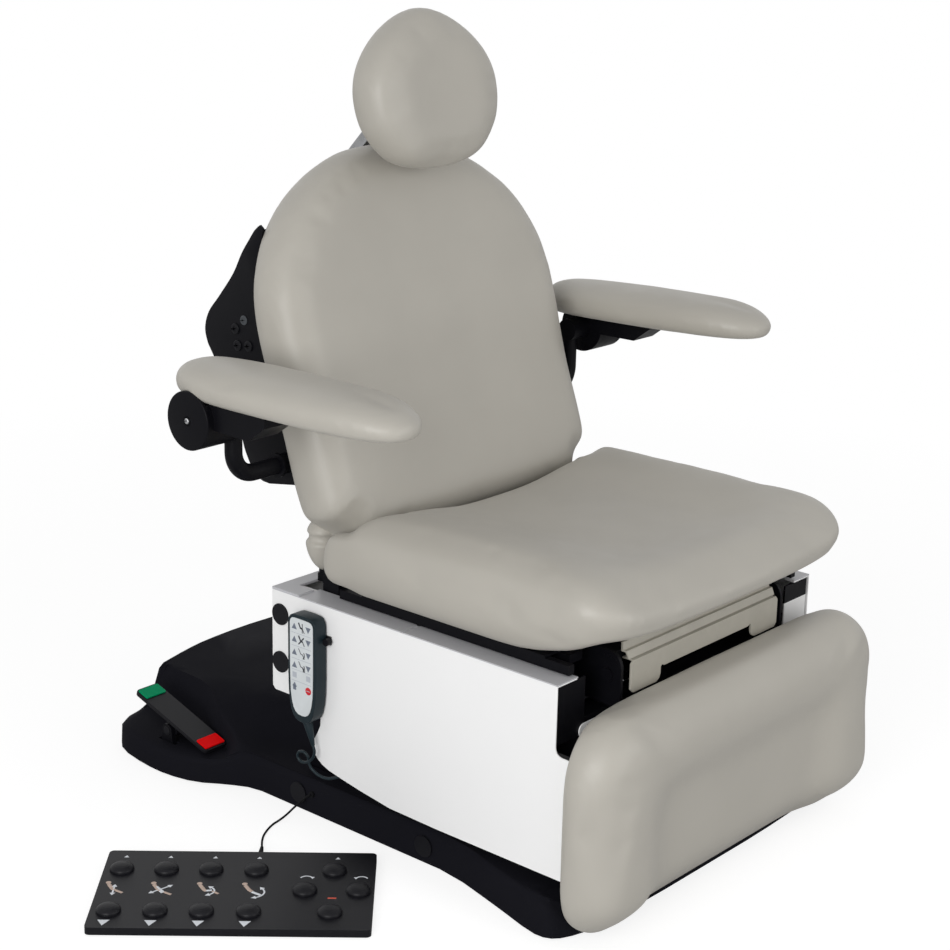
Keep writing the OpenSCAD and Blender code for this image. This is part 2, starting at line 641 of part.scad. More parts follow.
// Seat
seat_under = [[-640, 474], [-620, 468], [-600, 459], [-580, 448], [-560, 437], [-545, 428], [-525, 420], [-500, seat_under_z], [0, seat_under_z]];
seat_top = [[-640, 502], [-620, 513], [-600, 525], [-580, 535], [-560, 543], [-530, 549], [-440, seat_bolster_z - 1],
  [-340, seat_bolster_z], [-183, 551], [-89, 547]];
seat_edge = [[0, 0.5], [1, 0.62], [4, 0.73], [9, 0.82], [16, 0.89], [25, 0.945], [36, 0.98], [50, 1]];
seat_low = [[0, 0.5], [0.8, 0.38], [3, 0.26], [7, 0.15], [13, 0.07], [22, 0.015], [32, 0]];
ledge_high = [[0, 0.5], [1.3, 0.7], [4.6, 0.86], [9.2, 0.95], [15.7, 1]];
ledge_low = [[0, 0.5], [1.1, 0.3], [4.3, 0.15], [9.4, 0.05], [15.3, 0]];
back_edge = [[0, 0.48], [1.5, 0.62], [5, 0.74], [11, 0.85], [19, 0.93], [29, 0.98], [40, 1]];
back_low = [[0, 0.48], [1.5, 0.34], [5, 0.21], [11, 0.1], [19, 0.03], [28, 0]];
leg_edge = [[0, 0.34], [2, 0.5], [7, 0.65], [13, 0.77], [21, 0.87], [32, 0.95], [46, 1]];
leg_low = [[0, 0.34], [0.5, 0.22], [2, 0.13], [5, 0.06], [12, 0]];
leg_roll = [[20, 42], [28, 31], [38, 20], [50, 11], [62, 5], [78, 0], [290, 0], [322, 4], [340, 14], [350, 26], [358, 46]];

// outline drawn in by d along its own normals
function inset(p, d) = let (n = len(p)) [for (i = [0:n - 1])
  let (e = p[(i + 1) % n] - p[(i + n - 1) % n], l = max(norm(e), 0.001)) p[i] + [-e[1], e[0]] * d / l];

// a cushion: outline, upper edge and lower edge as [inset, share of thickness], centre, top and bottom surfaces
module cushion(out, hi, lo, cx, cy, T, B, inner = [0.86, 0.7, 0.54, 0.38, 0.2], back_in = [0.5]) {
  n = len(out);
  in_hi = inset(out, hi[len(hi) - 1][0]);
  in_lo = inset(out, lo[len(lo) - 1][0]);
  rings = concat(
    [for (j = [len(inner) - 1:-1:0]) [[for (q = in_hi) [cx, cy] + (q - [cx, cy]) * inner[j]], hi[len(hi) - 1][1]]],
    [for (j = [len(hi) - 1:-1:0]) [inset(out, hi[j][0]), hi[j][1]]],
    [for (j = [1:len(lo) - 1]) [inset(out, lo[j][0]), lo[j][1]]],
    [for (k = back_in) [[for (q = in_lo) [cx, cy] + (q - [cx, cy]) * k], lo[len(lo) - 1][1]]]);
  m = len(rings);
  pts = concat([[cx, cy, T(cx, cy)]],
    [for (j = [0:m - 1]) for (i = [0:n - 1]) let (q = rings[j][0][i], b = B(q[0], q[1])) [q[0], q[1], b + rings[j][1] * (T(q[0], q[1]) - b)]],
    [[cx, cy, B(cx, cy)]]);
  last = 1 + n * m;
  polyhedron(pts, concat(
    [for (i = [0:n - 1]) [0, 1 + (i + 1) % n, 1 + i]],
    [for (j = [0:m - 2]) for (i = [0:n - 1]) let (a = 1 + j * n + i, b = 1 + j * n + (i + 1) % n)
      each [[a, b, b + n], [a, b + n, a + n]]],
    [for (i = [0:n - 1]) let (k = 1 + (m - 1) * n) [last, k + i, k + (i + 1) % n]]), convexity = 6);
}

function seat_lift(x, y) = 22 * smooth((abs(x) - 225) / 110) * smooth((-450 - y) / 110);
seat_ear = rrect(289.3, -137.7, cushion_half_w - 0.9, -43, 17, 3);
function seat_bowl(x, y) = seat_dish * smooth((262 - abs(x)) / 170) * smooth((y + 590) / 120);
seat_out = concat(
  [for (x = [-200, -100, 0, 100, 200]) [x, seat_front_y + 14 * (x / 250) * (x / 250)]],
  arc(cushion_half_w - 84, seat_front_y + 96, 84, -80, 0, 6),
  [for (y = [-450, -350, -250, -150]) [cushion_half_w, y]],
  arc(cushion_half_w - 34, seat_rear_y - 30, 34, 0, 84, 4),
  [for (x = [200, 100, 0, -100, -200]) [x, seat_rear_y]],
  arc(34 - cushion_half_w, seat_rear_y - 30, 34, 96, 180, 4),
  [for (y = [-150, -250, -350, -450]) [-cushion_half_w, y]],
  arc(84 - cushion_half_w, seat_front_y + 96, 84, 180, 260, 6));

module seat_cushion() {
  color(c_up) {
    cushion(seat_out, seat_edge, seat_low, 0, -340,
      function (x, y) lookup(y, seat_top) - seat_bowl(x, y), function (x, y) lookup(y, seat_under) + seat_lift(x, y));
    // rear corners that run on beside the back cushion's lower corners
    both() cushion(seat_ear, ledge_high, ledge_low, 311.6, -93.3, function (x, y) 508 - 0.28 * (y + 43), function (x, y) seat_under_z + 9.3, [0.5]);
  }
}

module seat_frame() {
  color(c_black) difference() {
    union() {
      both() {
        box(236, 266, -500, 24, 398, 412);
        box(230, 300, -480, -110, 412, seat_under_z);
        yz(266, 274) polygon(concat(arc(tilt_y, tilt_z, 15, -20, 180, 20), [[-80, 412], [-80, 400], [0, 400]]));
        yz(257, 265) polygon(concat(arc(recline_y, recline_z, 14, 0, 180, 20), [[-6, 412], [-6, 400], [22, 400]]));
        yz(210, 216) polygon(concat([[-430, 335], [-430, 410], [-470, 415.5]], arc(-532, 390.5, 25, 90, 180, 8), arc(-545, 340, 12, 180, 270, 4)));
        box(288, 300, -526, -60, 397, 412);
        xcyl(216, 219, 11, legpin_y, legpin_z, 32);
        xcyl(216, 218, 6, -474, 397, 24);
        for (p = [[-524, 408], [-532, 407], [-540, 404.5], [-547, 400]]) xcyl(216, 217.2, 2.2, p[0], p[1], 16);
      }
      box(-240, 240, -480, -455, 398, 412);
      box(-240, 240, -140, -110, 398, 412);
      box(-216, 216, -539, -500, 397, 411);
      box(-266, 266, -480, -110, 412, seat_under_z);
      xcyl(-265, 265, shaft_r, recline_y, recline_z);
      xcyl(-216, 216, shaft_r, legpin_y, legpin_z);
    }
    both() xcyl(260, 280, sbore_r, tilt_y, tilt_z);
  }
}

module gap_cover_lower() {
  low = [[121, 369.5], [121, 359], [124, 352], [131, 348], [189, 348], [195.3, 354], [195.3, 394], [190, 400]];
  color(c_up) {
    translate([0, -557, 0]) rotate([90, 0, 0]) linear_extrude(4) polygon(mirror_pts(concat([[0, 369.5], [112, 369.5], [118, 372]], low, [[0, 400]])));
    box(-190, 190, -557, -539, 397, 400);
  }
}

module gap_cover_upper() {
  color(c_up) yz(-194, 194) polygon([[-555, 400.3], [-552, 400.3], [-547, 409], [-539, 409], [-539, 424], [-542, 424], [-544.5, 412], [-550, 412]]);
}

module drive_motors() {
  color(c_steel) difference() {
    union() {
    xcyl(-120, 120, 18, legpin_y, legpin_z, 40);
    xcyl(-60, 60, 17, -470, 378, 40);
    box(-30, 30, -512, -472, 366, 397);
    xcyl(-110, 110, 16, recline_y, recline_z, 40);
    box(-40, 40, -110, -2, 398, 415.5);
    }
    xcyl(-200, 200, shaft_r, legpin_y, legpin_z);
    xcyl(-200, 200, shaft_r, recline_y, recline_z);
  }
}

// Leg section
module leg_frame() {
  color(c_black) difference() {
    union() {
      both() {
        yz(199, 207) polygon(concat(arc(legpin_y, legpin_z, 16, 20, 180, 12), [[-540, 350], [-540, 110], [-533.5, 110], [-533.5, 340]]));
        box(150, 199, -540, -533.5, 100, 300);
      }
      box(-150, 150, -540, -533.5, 250, 290);
      box(-150, 150, -540, -533.5, 110, 150);
    }
    both() xcyl(195, 210, sbore_r, legpin_y, legpin_z);
  }
}

module leg_board() {
  color(c_black) {
    translate([0, -540.6, 0]) rotate([90, 0, 0]) linear_extrude(7.4) polygon(rrect2(-268, 64, 268, 316, 40, 60, 8));
  }
}

function leg_bowl(x, z) = leg_hollow * smooth((276 - abs(x)) / 76) * smooth((276 - z) / 76);
function leg_tuck(z) = 26 * smooth((100 - z) / 80);
leg_out = concat(
  [for (x = [-262, -228, -190, -95, 0, 95, 190, 228, 262]) [x, leg_foot_z]],
  arc(leg_half_w - 78, leg_foot_z + 78, 78, -86, 0, 6),
  [for (z = [130, 170, 210]) [leg_half_w, z]],
  arc(leg_half_w - 100, leg_top_z - 100, 100, 0, 86, 6),
  [for (x = [140, 0, -140]) [x, leg_top_z]],
  arc(100 - leg_half_w, leg_top_z - 100, 100, 94, 180, 6),
  [for (z = [210, 170, 130]) [-leg_half_w, z]],
  arc(78 - leg_half_w, leg_foot_z + 78, 78, 180, 266, 6));

module leg_cushion() {
  color(c_up) translate([0, leg_back_y, 0]) rotate([90, 0, 0]) cushion(leg_out, leg_edge, leg_low, 0, 185,
    function (x, z) leg_back_y - leg_front_y - leg_bowl(x, z) - leg_tuck(z),
    function (x, z) max(lookup(z, leg_roll), 26 * smooth((abs(x) - 262) / 44)), [0.9, 0.82, 0.75, 0.68, 0.6, 0.5, 0.36, 0.18],
    [0.84, 0.5]);
}

// Back section. Local x runs across, y up the back and z forward
module backrest() {
  translate(back_origin) rotate([90 - back_lean, 0, 0]) children();
}

back_half = [[245, 0], [263, 4], [275, 16], [286, 35], [303, 48], [318, 57], [326, 72], [328, 130], [325, 200], [328, 265], [333, 325], [333, 380],
  [326, 425], [312, 462], [288, 505], [257, 541], [215, 574], [170, 600], [120, 620], [65, 631]];
back_out = concat([[-190, 0], [-95, 0], [0, 0], [95, 0], [190, 0]], back_half, [[0, back_len]],
  [for (i = [len(back_half) - 1:-1:0]) [-back_half[i][0], back_half[i][1]]]);

module back_cushion() {
  color(c_up) backrest() cushion(back_out, back_edge, back_low, 0, 310,
    function (x, y) half_back + 3 - 6 * smooth((210 - abs(x)) / 160) * smooth((y - 30) / 120) * smooth((640 - y) / 160),
    function (x, y) 1.5 - half_back, [0.84, 0.66, 0.46, 0.24]);
}

module back_frame() {
  color(c_black) difference() {
    union() {
      backrest() {
        both() box(236, 256, 8, 500, -57, -45.2);
        for (v = [60, 260, 450]) box(-271, 271, v, v + 40, -57, -45.2);
        box(-32, 32, 260, 490, -57, -45.2);
        // guide for the head bar
        for (v = [400, 455]) box(-32, 32, v, v + 30, -78, -45.2);
      }
      both() yz(246, 256) polygon(concat(arc(recline_y, recline_z, 14, 150, 340, 20), [[25, 462], [19, 487], [6, 487]]));
    }
    both() xcyl(240, 260, sbore_r, recline_y, recline_z);
    backrest() box(-20.4, 20.4, 390, 500, -70.4, -61.6);
  }
}

shell_pts = [[45, 556], [127, 546], [137, 585], [178, 650], [262, 740], [278, 775], [275, 800], [262, 830], [190, 907], [156, 956], [150, 945]];

module back_shell() {
  color(c_steel) difference() {
    union() {
      both() yz(271.2, 275) polygon(concat(shell_pts, [[-1.5 + 0.325 * (945 - 468), 940], [-1 + 0.325 * (562 - 468), 562]]));
      yz(-271.2, 271.2) polygon([[137, 585], [178, 650], [262, 740], [278, 775], [275, 800], [262, 830], [190, 907],
        [187.9, 904.9], [259.5, 828.4], [272.2, 799.2], [275.1, 775.6], [259.6, 741.7], [175.6, 651.8], [134.4, 586.6]]);
    }
    for (p = [[183, 806], [203, 789], [198, 762], [172, 765]]) both() xcyl(265, 280, 7, p[0], p[1], 32);
  }
}

// Arm posts, one bent tube on each side of the back
post_y = 57;
post_x = 415;
post_low_z = 598;
bend_r = 40;

module arm_posts() {
  color(c_steel) both() {
    xcyl(275, 323, 17, post_y, post_low_z, 40);
    xcyl(321, 326, 20, post_y, post_low_z, 40);
    xcyl(323, post_x - bend_r, arm_tube_r, post_y, post_low_z, 48);
    translate([post_x - bend_r, post_y, post_low_z + bend_r]) rotate([90, 0, 0]) rotate([0, 0, -90])
      rotate_extrude(angle = 90, $fn = 96) translate([bend_r, 0]) circle(r = arm_tube_r, $fn = 40);
    translate([post_x, post_y, post_low_z + bend_r]) cylinder(r = arm_tube_r, h = hub_z - post_low_z - bend_r, $fn = 48);
    xcyl(post_x - 17, 440, 20, hub_y, hub_z, 48);
    xcyl(438, 500, 10, hub_y, hub_z, 48);
  }
}

module arm_bracket() {
  color(c_steel) difference() {
    union() {
      xcyl(440.4, 509, hub_r, hub_y, hub_z, fn_big);
      yz(440.4, 500) polygon([[hub_y + 30, 700], [-70, 697], [-105, 722], [-105, arm_under_z], [90, arm_under_z], [90, 712]]);
      xcyl(509, 511, 40, hub_y, hub_z, fn_big);
      xcyl(511, 513, 9, hub_y, hub_z, 32);
    }
    xcyl(430, 502, 10.05, hub_y, hub_z, 48);
    box(430, 520, hub_y - 60, hub_y + 60, arm_under_z, arm_under_z + 40);
  }
}

arm_prof_hi = [[0, 0.45], [2, 0.6], [6, 0.72], [12, 0.82], [20, 0.9], [31, 0.96], [44, 0.99]];
arm_prof_lo = [[0, 0.45], [1.5, 0.28], [5, 0.13], [11, 0.04], [18, 0]];
arm_half = [[-344, 0], [-342.5, 12], [-338, 24], [-329, 36], [-313, 48], [-290, 58], [-255, 66], [-207, 70.5], [-140, 72.5],
  [-50, 72.5], [10, 70.5], [54, 65], [86, 56], [107, 44], [119, 30], [124.5, 15], [126, 0]];
arm_out = concat([for (i = [0:len(arm_half) - 1]) [arm_half[i][1], arm_half[i][0]]],
  [for (i = [len(arm_half) - 2:-1:1]) [-arm_half[i][1], arm_half[i][0]]]);

module arm_pad() {
  color(c_up) translate([arm_x, -5, 0]) cushion(arm_out, arm_prof_hi, arm_prof_lo, 0, -110,
    function (x, y) arm_top_z - 22 * smooth((-250 - y) / 130), function (x, y) arm_under_z, [0.6]);
}

// each arm is held by friction, at its own slight angle about its hub
module droop(a) {
  translate([0, hub_y, hub_z]) rotate([a, 0, 0]) translate([0, -hub_y, -hub_z]) children();
}

module arm_left_bracket() { mirror([1, 0, 0]) droop(left_droop) arm_bracket(); }
module arm_left_pad() { mirror([1, 0, 0]) droop(left_droop) arm_pad(); }
module arm_right_bracket() { droop(right_droop) arm_bracket(); }
module arm_right_pad() { droop(right_droop) arm_pad(); }

// Headrest
head_hinge = [105, 1140];
head_elbow = [203, 1046];

// pin of the clamp lever, on the sloping part of the bar
head_grip = [188, 1061.5];

module headrest() {
  translate([0, 20, 1045]) rotate([90 - head_lean, 0, 0]) children();
}

head_half = [[72, 6], [97, 18], [115, 36], [130, 54], [139, 70], [146, 96], [148, 127], [141, 157], [122, 188], [90, 218], [48, 242]];
head_out = concat([[-36, 1], [0, 0], [36, 1]], head_half, [[0, head_h]],
  [for (i = [len(head_half) - 1:-1:0]) [-head_half[i][0], head_half[i][1]]]);
head_hi = [[0, 0.5], [2, 0.66], [6, 0.78], [12, 0.87], [20, 0.94], [30, 0.98]];
head_lo = [[0, 0.5], [2, 0.34], [6, 0.2], [12, 0.1], [20, 0.03], [28, 0]];

module head_cushion() {
  color(c_up) headrest() cushion(head_out, head_hi, head_lo, 0, 128,
    function (x, y) head_thick / 2 + 3 - 6 * smooth((110 - abs(x)) / 90) * smooth((y - 20) / 60), function (x, y) -head_thick / 2, [0.7, 0.4]);
}

module head_bar() {
  color(c_bright) difference() {
    union() {
      backrest() box(-20, 20, 270, 612, -70, -62);
      yz(-14, 14) polygon(stadium(202.5, 1028, head_elbow[0], head_elbow[1], 8));
      yz(-14, 14) polygon(stadium(head_elbow[0], head_elbow[1], 118, 1134, 9));
      xcyl(-14, 14, 15, head_hinge[0], head_hinge[1], 40);
      xcyl(14, 27, 5, head_grip[0], head_grip[1], 40);
      xcyl(27, 29, 8, head_grip[0], head_grip[1], 32);
    }
    xcyl(-20, 20, sbore_r, head_hinge[0], head_hinge[1]);
  }
}

module head_bracket() {
  color(c_steel) {
    headrest() box(-60, 60, 50, 175, -head_thick / 2 - 4, -head_thick / 2);
    both() yz(14.5, 22) polygon(concat(arc(head_hinge[0], head_hinge[1], 14, -60, 70, 14), [[86, 1162], [79, 1130]]));
    xcyl(-24, 24, shaft_r, head_hinge[0], head_hinge[1]);
  }
}

module head_lever() {
  color(c_tan) difference() {
    union() {
      xcyl(14.5, 26.5, 11, head_grip[0], head_grip[1], 40);
      yz(17, 24) polygon(stadium(head_grip[0], head_grip[1], 208, 1112, 5.5));
    }
    xcyl(10, 30, 5 + run_gap, head_grip[0], head_grip[1]);
  }
}

base_shell();
base_frame();
rubber_feet();
base_plugs();
lift_actuator();
foot_control_case();
foot_cord_gland();
foot_cord();
foot_button_01();
foot_button_02();
foot_button_03();
foot_button_04();
foot_button_05();
foot_button_06();
foot_button_07();
foot_button_08();
foot_button_09();
foot_button_10();
foot_button_11();
foot_button_12();
brake_pedal();
pedal_pad_green();
pedal_pad_red();
lift_arms_outer();
lift_arms_inner();
glides_lower();
lift_rod();
glides_upper();
lift_platform();
front_shields();
housing_left();
housing_right();
housing_front();
housing_rear();
housing_top_plates();
housing_plugs();
handset_hook();
handset_case();
handset_keypad();
handset_cord();
seat_frame();
seat_cushion();
gap_cover_lower();
gap_cover_upper();
drive_motors();
leg_frame();
leg_board();
leg_cushion();
back_frame();
back_shell();
back_cushion();
arm_posts();
arm_left_bracket();
arm_left_pad();
arm_right_bracket();
arm_right_pad();
head_bar();
head_bracket();
head_lever();
head_cushion();
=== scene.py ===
"""Podiatry chair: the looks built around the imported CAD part. Metres, +Z up, the patient faces -Y."""

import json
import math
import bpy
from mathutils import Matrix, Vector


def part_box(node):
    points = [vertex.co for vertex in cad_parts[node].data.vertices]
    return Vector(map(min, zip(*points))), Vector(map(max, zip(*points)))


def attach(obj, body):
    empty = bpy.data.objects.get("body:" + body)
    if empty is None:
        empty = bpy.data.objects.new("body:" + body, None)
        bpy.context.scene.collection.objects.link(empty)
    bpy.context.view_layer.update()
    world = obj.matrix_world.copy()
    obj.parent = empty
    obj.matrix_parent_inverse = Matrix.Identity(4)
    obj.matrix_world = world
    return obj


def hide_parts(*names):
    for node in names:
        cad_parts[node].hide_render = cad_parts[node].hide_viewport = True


bl_info = {
    "name": "Podiatry chair",
    "version": (1, 0, 0),
    "blender": (4, 5, 0),
    "location": "3D View > Sidebar > Chair",
    "description": "Builds the looks of a podiatry chair around its packed CAD part",
    "category": "Add Mesh",
}

import bmesh
import bpy
import numpy as np
from mathutils import Matrix, Vector

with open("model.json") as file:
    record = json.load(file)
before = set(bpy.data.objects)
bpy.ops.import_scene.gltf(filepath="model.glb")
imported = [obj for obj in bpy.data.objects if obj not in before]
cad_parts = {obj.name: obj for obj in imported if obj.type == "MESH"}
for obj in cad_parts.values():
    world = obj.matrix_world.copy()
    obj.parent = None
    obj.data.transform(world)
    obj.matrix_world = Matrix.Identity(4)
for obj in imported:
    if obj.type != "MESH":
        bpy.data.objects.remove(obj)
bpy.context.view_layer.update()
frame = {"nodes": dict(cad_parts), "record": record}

MM = 0.001
# thickness of everything printed
INK = 0.3 * MM
# points that lie closer together than this become one
WELD = 0.00001

# the handset's face: x runs to its right edge, y up and z outwards
HANDSET = Matrix(((0, 0, -1, -0.338), (-1, 0, 0, -0.037), (0, 1, 0, 0.196), (0, 0, 0, 1)))
# the foot control's top: x runs along it and y from its front edge to its rear edge
FOOT_CONTROL = Matrix.Translation((-0.6684, -0.1962, 0.014)) @ Matrix.Rotation(math.radians(-48.07), 4, "Z")
# a side view as a drawing plane: x runs to the rear, y up and z to the patient's left
SIDE_VIEW = Matrix(((0, 0, 1, 0), (1, 0, 0, 0), (0, 1, 0, 0), (0, 0, 0, 1)))

# millimetres: the handset's case and film, the side plates of the back shell and the sheets in front
CASE_DEPTH = 24
FILM = 0.8
SHELL_PLATE = 3.8
SHELL_X = 273.1
SHELL_FACE = SHELL_X + SHELL_PLATE / 2
SHELL_INSIDE = 2 * (SHELL_X - SHELL_PLATE / 2)
SHELL_WALL = 3
FRONT_SHEET = 3.2
FRONT_SHEET_Y = -528.9
# the arms' hubs: the middle of their outer caps
HUB_Y = 50
HUB_Z = 708
HUB_CAP_X = 509.5

# the cushions' simulation: its frames, its pressure and the share of a normal that marks the board's side
CLOTH_FRAMES = 20
CLOTH_PRESSURE = 4
BOARD_SIDE = 0.72

# the folds at the seat's rear corners: the right-hand one's place and its half sizes in millimetres, and on
# the ball that it starts as, the heights between which it is creased, how far, and how much it tapers
FOLD_PLACE = (268, 4, 468)
FOLD_SIZE = (34, 29, 46)
FOLD_RING = (0.22, 0.34)
FOLD_CREASE = 0.84
FOLD_TAPER = 0.35

# the photograph in pixels: its width, focal length and optical centre, and then the camera's place and turns
PHOTO = 950
FOCAL = 2004.2
CENTRE = (482.6, 462.63)
SENSOR = 36
CAMERA_PLACE = (-2.42513, -2.18007, 1.5)
CAMERA_YAW = math.radians(49.318)
CAMERA_PITCH = math.radians(16.265)
CAMERA_ROLL = math.radians(1.207)
# lamps: name, place, size in metres and power in watts
LAMPS = (("key", (-3.6, -1.5, 1.5), 2.0, 72), ("fill", (0.6, -3.8, 1.3), 2.4, 27))
LAMP_TARGET = (0, -0.2, 0.5)
WORLD_LIGHT = 0.46
# the floor: its size, its greys for light and for the shown shadow, its glow, and where it fades to white
FLOOR_SIZE = 80
FLOOR_GREY = 0.7
SHADOW_GREY = 0.34
FLOOR_GLOW = 0.8
FADE_FROM = 1.2
FADE_TO = 2.6


# Colours and materials

def linear(colour):
    """A hex sRGB colour as linear RGBA."""
    parts = [int(colour[i:i + 2], 16) / 255 for i in (1, 3, 5)]
    return [p / 12.92 if p <= 0.04045 else ((p + 0.055) / 1.055) ** 2.4 for p in parts] + [1.0]


def node(tree, kind, settings=None, links=None):
    """Adds a node, sets its sockets or properties, and links other nodes' sockets into it."""
    made = tree.nodes.new(kind)
    for key, value in (settings or {}).items():
        if isinstance(key, int) or key in made.inputs:
            made.inputs[key].default_value = value
        else:
            setattr(made, key, value)
    for key, source in (links or {}).items():
        tree.links.new(source, made.inputs[key])
    return made


def principled(name, colour, roughness, **sockets):
    """A new material with its Principled shader, its tree and the object coordinates."""
    made = bpy.data.materials.new(name)
    made.use_nodes = True
    tree = made.node_tree
    shader = tree.nodes["Principled BSDF"]
    shader.inputs["Base Color"].default_value = linear(colour)
    shader.inputs["Roughness"].default_value = roughness
    for key, value in sockets.items():
        shader.inputs[key.replace("_", " ")].default_value = value
    place = node(tree, "ShaderNodeTexCoord").outputs["Object"]
    return made, tree, shader, place


def mottle(tree, shader, place, colour, change, size):
    """Slow variation between two shades of a colour, over patches of the given size in metres."""
    cloud = node(tree, "ShaderNodeTexNoise", {"Scale": 1 / size, "Detail": 3.0, "Roughness": 0.5},
                 {"Vector": place})
    ramp = node(tree, "ShaderNodeValToRGB", links={"Fac": cloud.outputs["Fac"]})
    base = linear(colour)
    ramp.color_ramp.elements[0].position = 0.3
    ramp.color_ramp.elements[0].color = [c * (1 - change) for c in base[:3]] + [1]
    ramp.color_ramp.elements[1].position = 0.7
    ramp.color_ramp.elements[1].color = [c * (1 + change) for c in base[:3]] + [1]
    tree.links.new(ramp.outputs["Color"], shader.inputs["Base Color"])


def vary_roughness(tree, shader, place, low, high, size):
    """Roughness that drifts between two values over patches of the given size."""
    cloud = node(tree, "ShaderNodeTexNoise", {"Scale": 1 / size, "Detail": 4.0}, {"Vector": place})
    span = node(tree, "ShaderNodeMapRange", {"From Min": 0.3, "From Max": 0.7, "To Min": low, "To Max": high},
                {"Value": cloud.outputs["Fac"]})
    tree.links.new(span.outputs["Result"], shader.inputs["Roughness"])


def bump(tree, shader, height, depth, strength=1.0):
    """Turns a height between 0 and 1 into a bump of the given depth in metres."""
    made = node(tree, "ShaderNodeBump", {"Strength": strength, "Distance": depth}, {"Height": height})
    tree.links.new(made.outputs["Normal"], shader.inputs["Normal"])


def vinyl_skin():
    """Vacuum-formed vinyl: an even greige skin with a fine pebble grain and a soft satin sheen."""
    made, tree, shader, place = principled("vinyl_skin_formed", LOOK.upholstery, 0.46, IOR=1.5)
    shader.inputs["Sheen Weight"].default_value = 0.08
    shader.inputs["Sheen Roughness"].default_value = 0.5
    mottle(tree, shader, place, LOOK.upholstery, 0.02, 0.12)
    # pebbles of 1.1 mm are drawn at 2.2 mm, the least that the picture's pixels can show
    grain = node(tree, "ShaderNodeTexVoronoi", {"Scale": 1 / (2.2 * MM)}, {"Vector": place})
    bump(tree, shader, grain.outputs["Distance"], 0.06 * MM, 0.35)
    vary_roughness(tree, shader, place, 0.42, 0.5, 0.05)
    return made


def moulded_cover():
    """Rotomoulded polyethylene, textured black: a leathery spark grain that spreads highlights."""
    made, tree, shader, place = principled("polyethylene_black_moulded", LOOK.cover, 0.4, IOR=1.51,
                                            Specular_IOR_Level=0.008)
    grain = node(tree, "ShaderNodeTexNoise", {"Scale": 1 / (2.5 * MM), "Detail": 5.0, "Roughness": 0.6},
                 {"Vector": place})
    bump(tree, shader, grain.outputs["Fac"], 0.15 * MM, 0.5)
    mottle(tree, shader, place, LOOK.cover, 0.03, 0.12)
    vary_roughness(tree, shader, place, 0.46, 0.54, 0.1)
    return made


def powder_black():
    """Black powder coat on steel: satin with a fine orange peel."""
    made, tree, shader, place = principled("steel_powder_coated_black", LOOK.frame, 0.36, IOR=1.5,
                                            Specular_IOR_Level=0.1)
    peel = node(tree, "ShaderNodeTexNoise", {"Scale": 1 / (1.6 * MM), "Detail": 2.0}, {"Vector": place})
    bump(tree, shader, peel.outputs["Fac"], 0.05 * MM, 0.5)
    vary_roughness(tree, shader, place, 0.33, 0.45, 0.02)
    return made


def powder_white(name, colour):
    """White powder coat on sheet steel: bright, satin, with a faint orange peel."""
    made, tree, shader, place = principled(name, colour, 0.36, IOR=1.5)
    peel = node(tree, "ShaderNodeTexNoise", {"Scale": 1 / (2.0 * MM), "Detail": 2.0}, {"Vector": place})
    bump(tree, shader, peel.outputs["Fac"], 0.04 * MM, 0.4)
    mottle(tree, shader, place, colour, 0.008, 0.2)
    vary_roughness(tree, shader, place, 0.32, 0.42, 0.06)
    return made


def bright_steel():
    """Zinc-plated steel bar, drawn: bright, with fine lines along its length."""
    made, tree, shader, place = principled("steel_zinc_plated_drawn", LOOK.steel, 0.3, Metallic=1.0)
    stretch = node(tree, "ShaderNodeMapping", links={"Vector": place})
    stretch.inputs["Scale"].default_value = (1, 1, 0.05)
    lines = node(tree, "ShaderNodeTexNoise", {"Scale": 1 / (0.8 * MM), "Detail": 3.0},
                 {"Vector": stretch.outputs["Vector"]})
    bump(tree, shader, lines.outputs["Fac"], 0.02 * MM, 0.4)
    vary_roughness(tree, shader, place, 0.24, 0.38, 0.02)
    return made


def soft_rubber():
    """Moulded EPDM rubber: dead matt black with a faint bloom."""
    colour = "#141416"
    made, tree, shader, place = principled("rubber_epdm_moulded", colour, 0.7, IOR=1.52,
                                            Specular_IOR_Level=0.1)
    mottle(tree, shader, place, colour, 0.15, 0.01)
    grain = node(tree, "ShaderNodeTexNoise", {"Scale": 1 / (1.2 * MM), "Detail": 3.0}, {"Vector": place})
    bump(tree, shader, grain.outputs["Fac"], 0.05 * MM, 0.4)
    return made


def abs_plastic(name, colour, roughness, grain_size=1.5, shine=0.4):
    """Injection-moulded ABS with a light spark-eroded grain."""
    made, tree, shader, place = principled(name, colour, roughness, IOR=1.53, Specular_IOR_Level=shine)
    grain = node(tree, "ShaderNodeTexNoise", {"Scale": 1 / (grain_size * MM), "Detail": 3.0},
                 {"Vector": place})
    bump(tree, shader, grain.outputs["Fac"], 0.04 * MM, 0.4)
    mottle(tree, shader, place, colour, 0.04, 0.03)
    return made


def printed(name, colour):
    """Screen-printed ink: flat and slightly matt."""
    made, tree, shader, place = principled(name, colour, 0.5, IOR=1.5)
    mottle(tree, shader, place, colour, 0.03, 0.004)
    return made


# Settings

class ChairSizes(bpy.types.PropertyGroup):
    """Sizes that a user would change."""
    puff: bpy.props.FloatProperty(name="Cushion swell", default=0.005, unit="LENGTH",
                                  description="How far a cushion's skin may swell in the simulation")
    voxel: bpy.props.FloatProperty(name="Cushion mesh", description="Voxel size of the cushions' meshes",
                                   default=0.006, unit="LENGTH")
    edge: bpy.props.FloatProperty(name="Edge radius", description="Rounding of plate edges", default=0.0009,
                                  unit="LENGTH")
    handset_cord: bpy.props.FloatProperty(name="Handset cord", description="Diameter of the handset's cord",
                                          default=0.0048, unit="LENGTH")
    foot_cord: bpy.props.FloatProperty(name="Foot cord", description="Diameter of the foot control's cord",
                                       default=0.0036, unit="LENGTH")


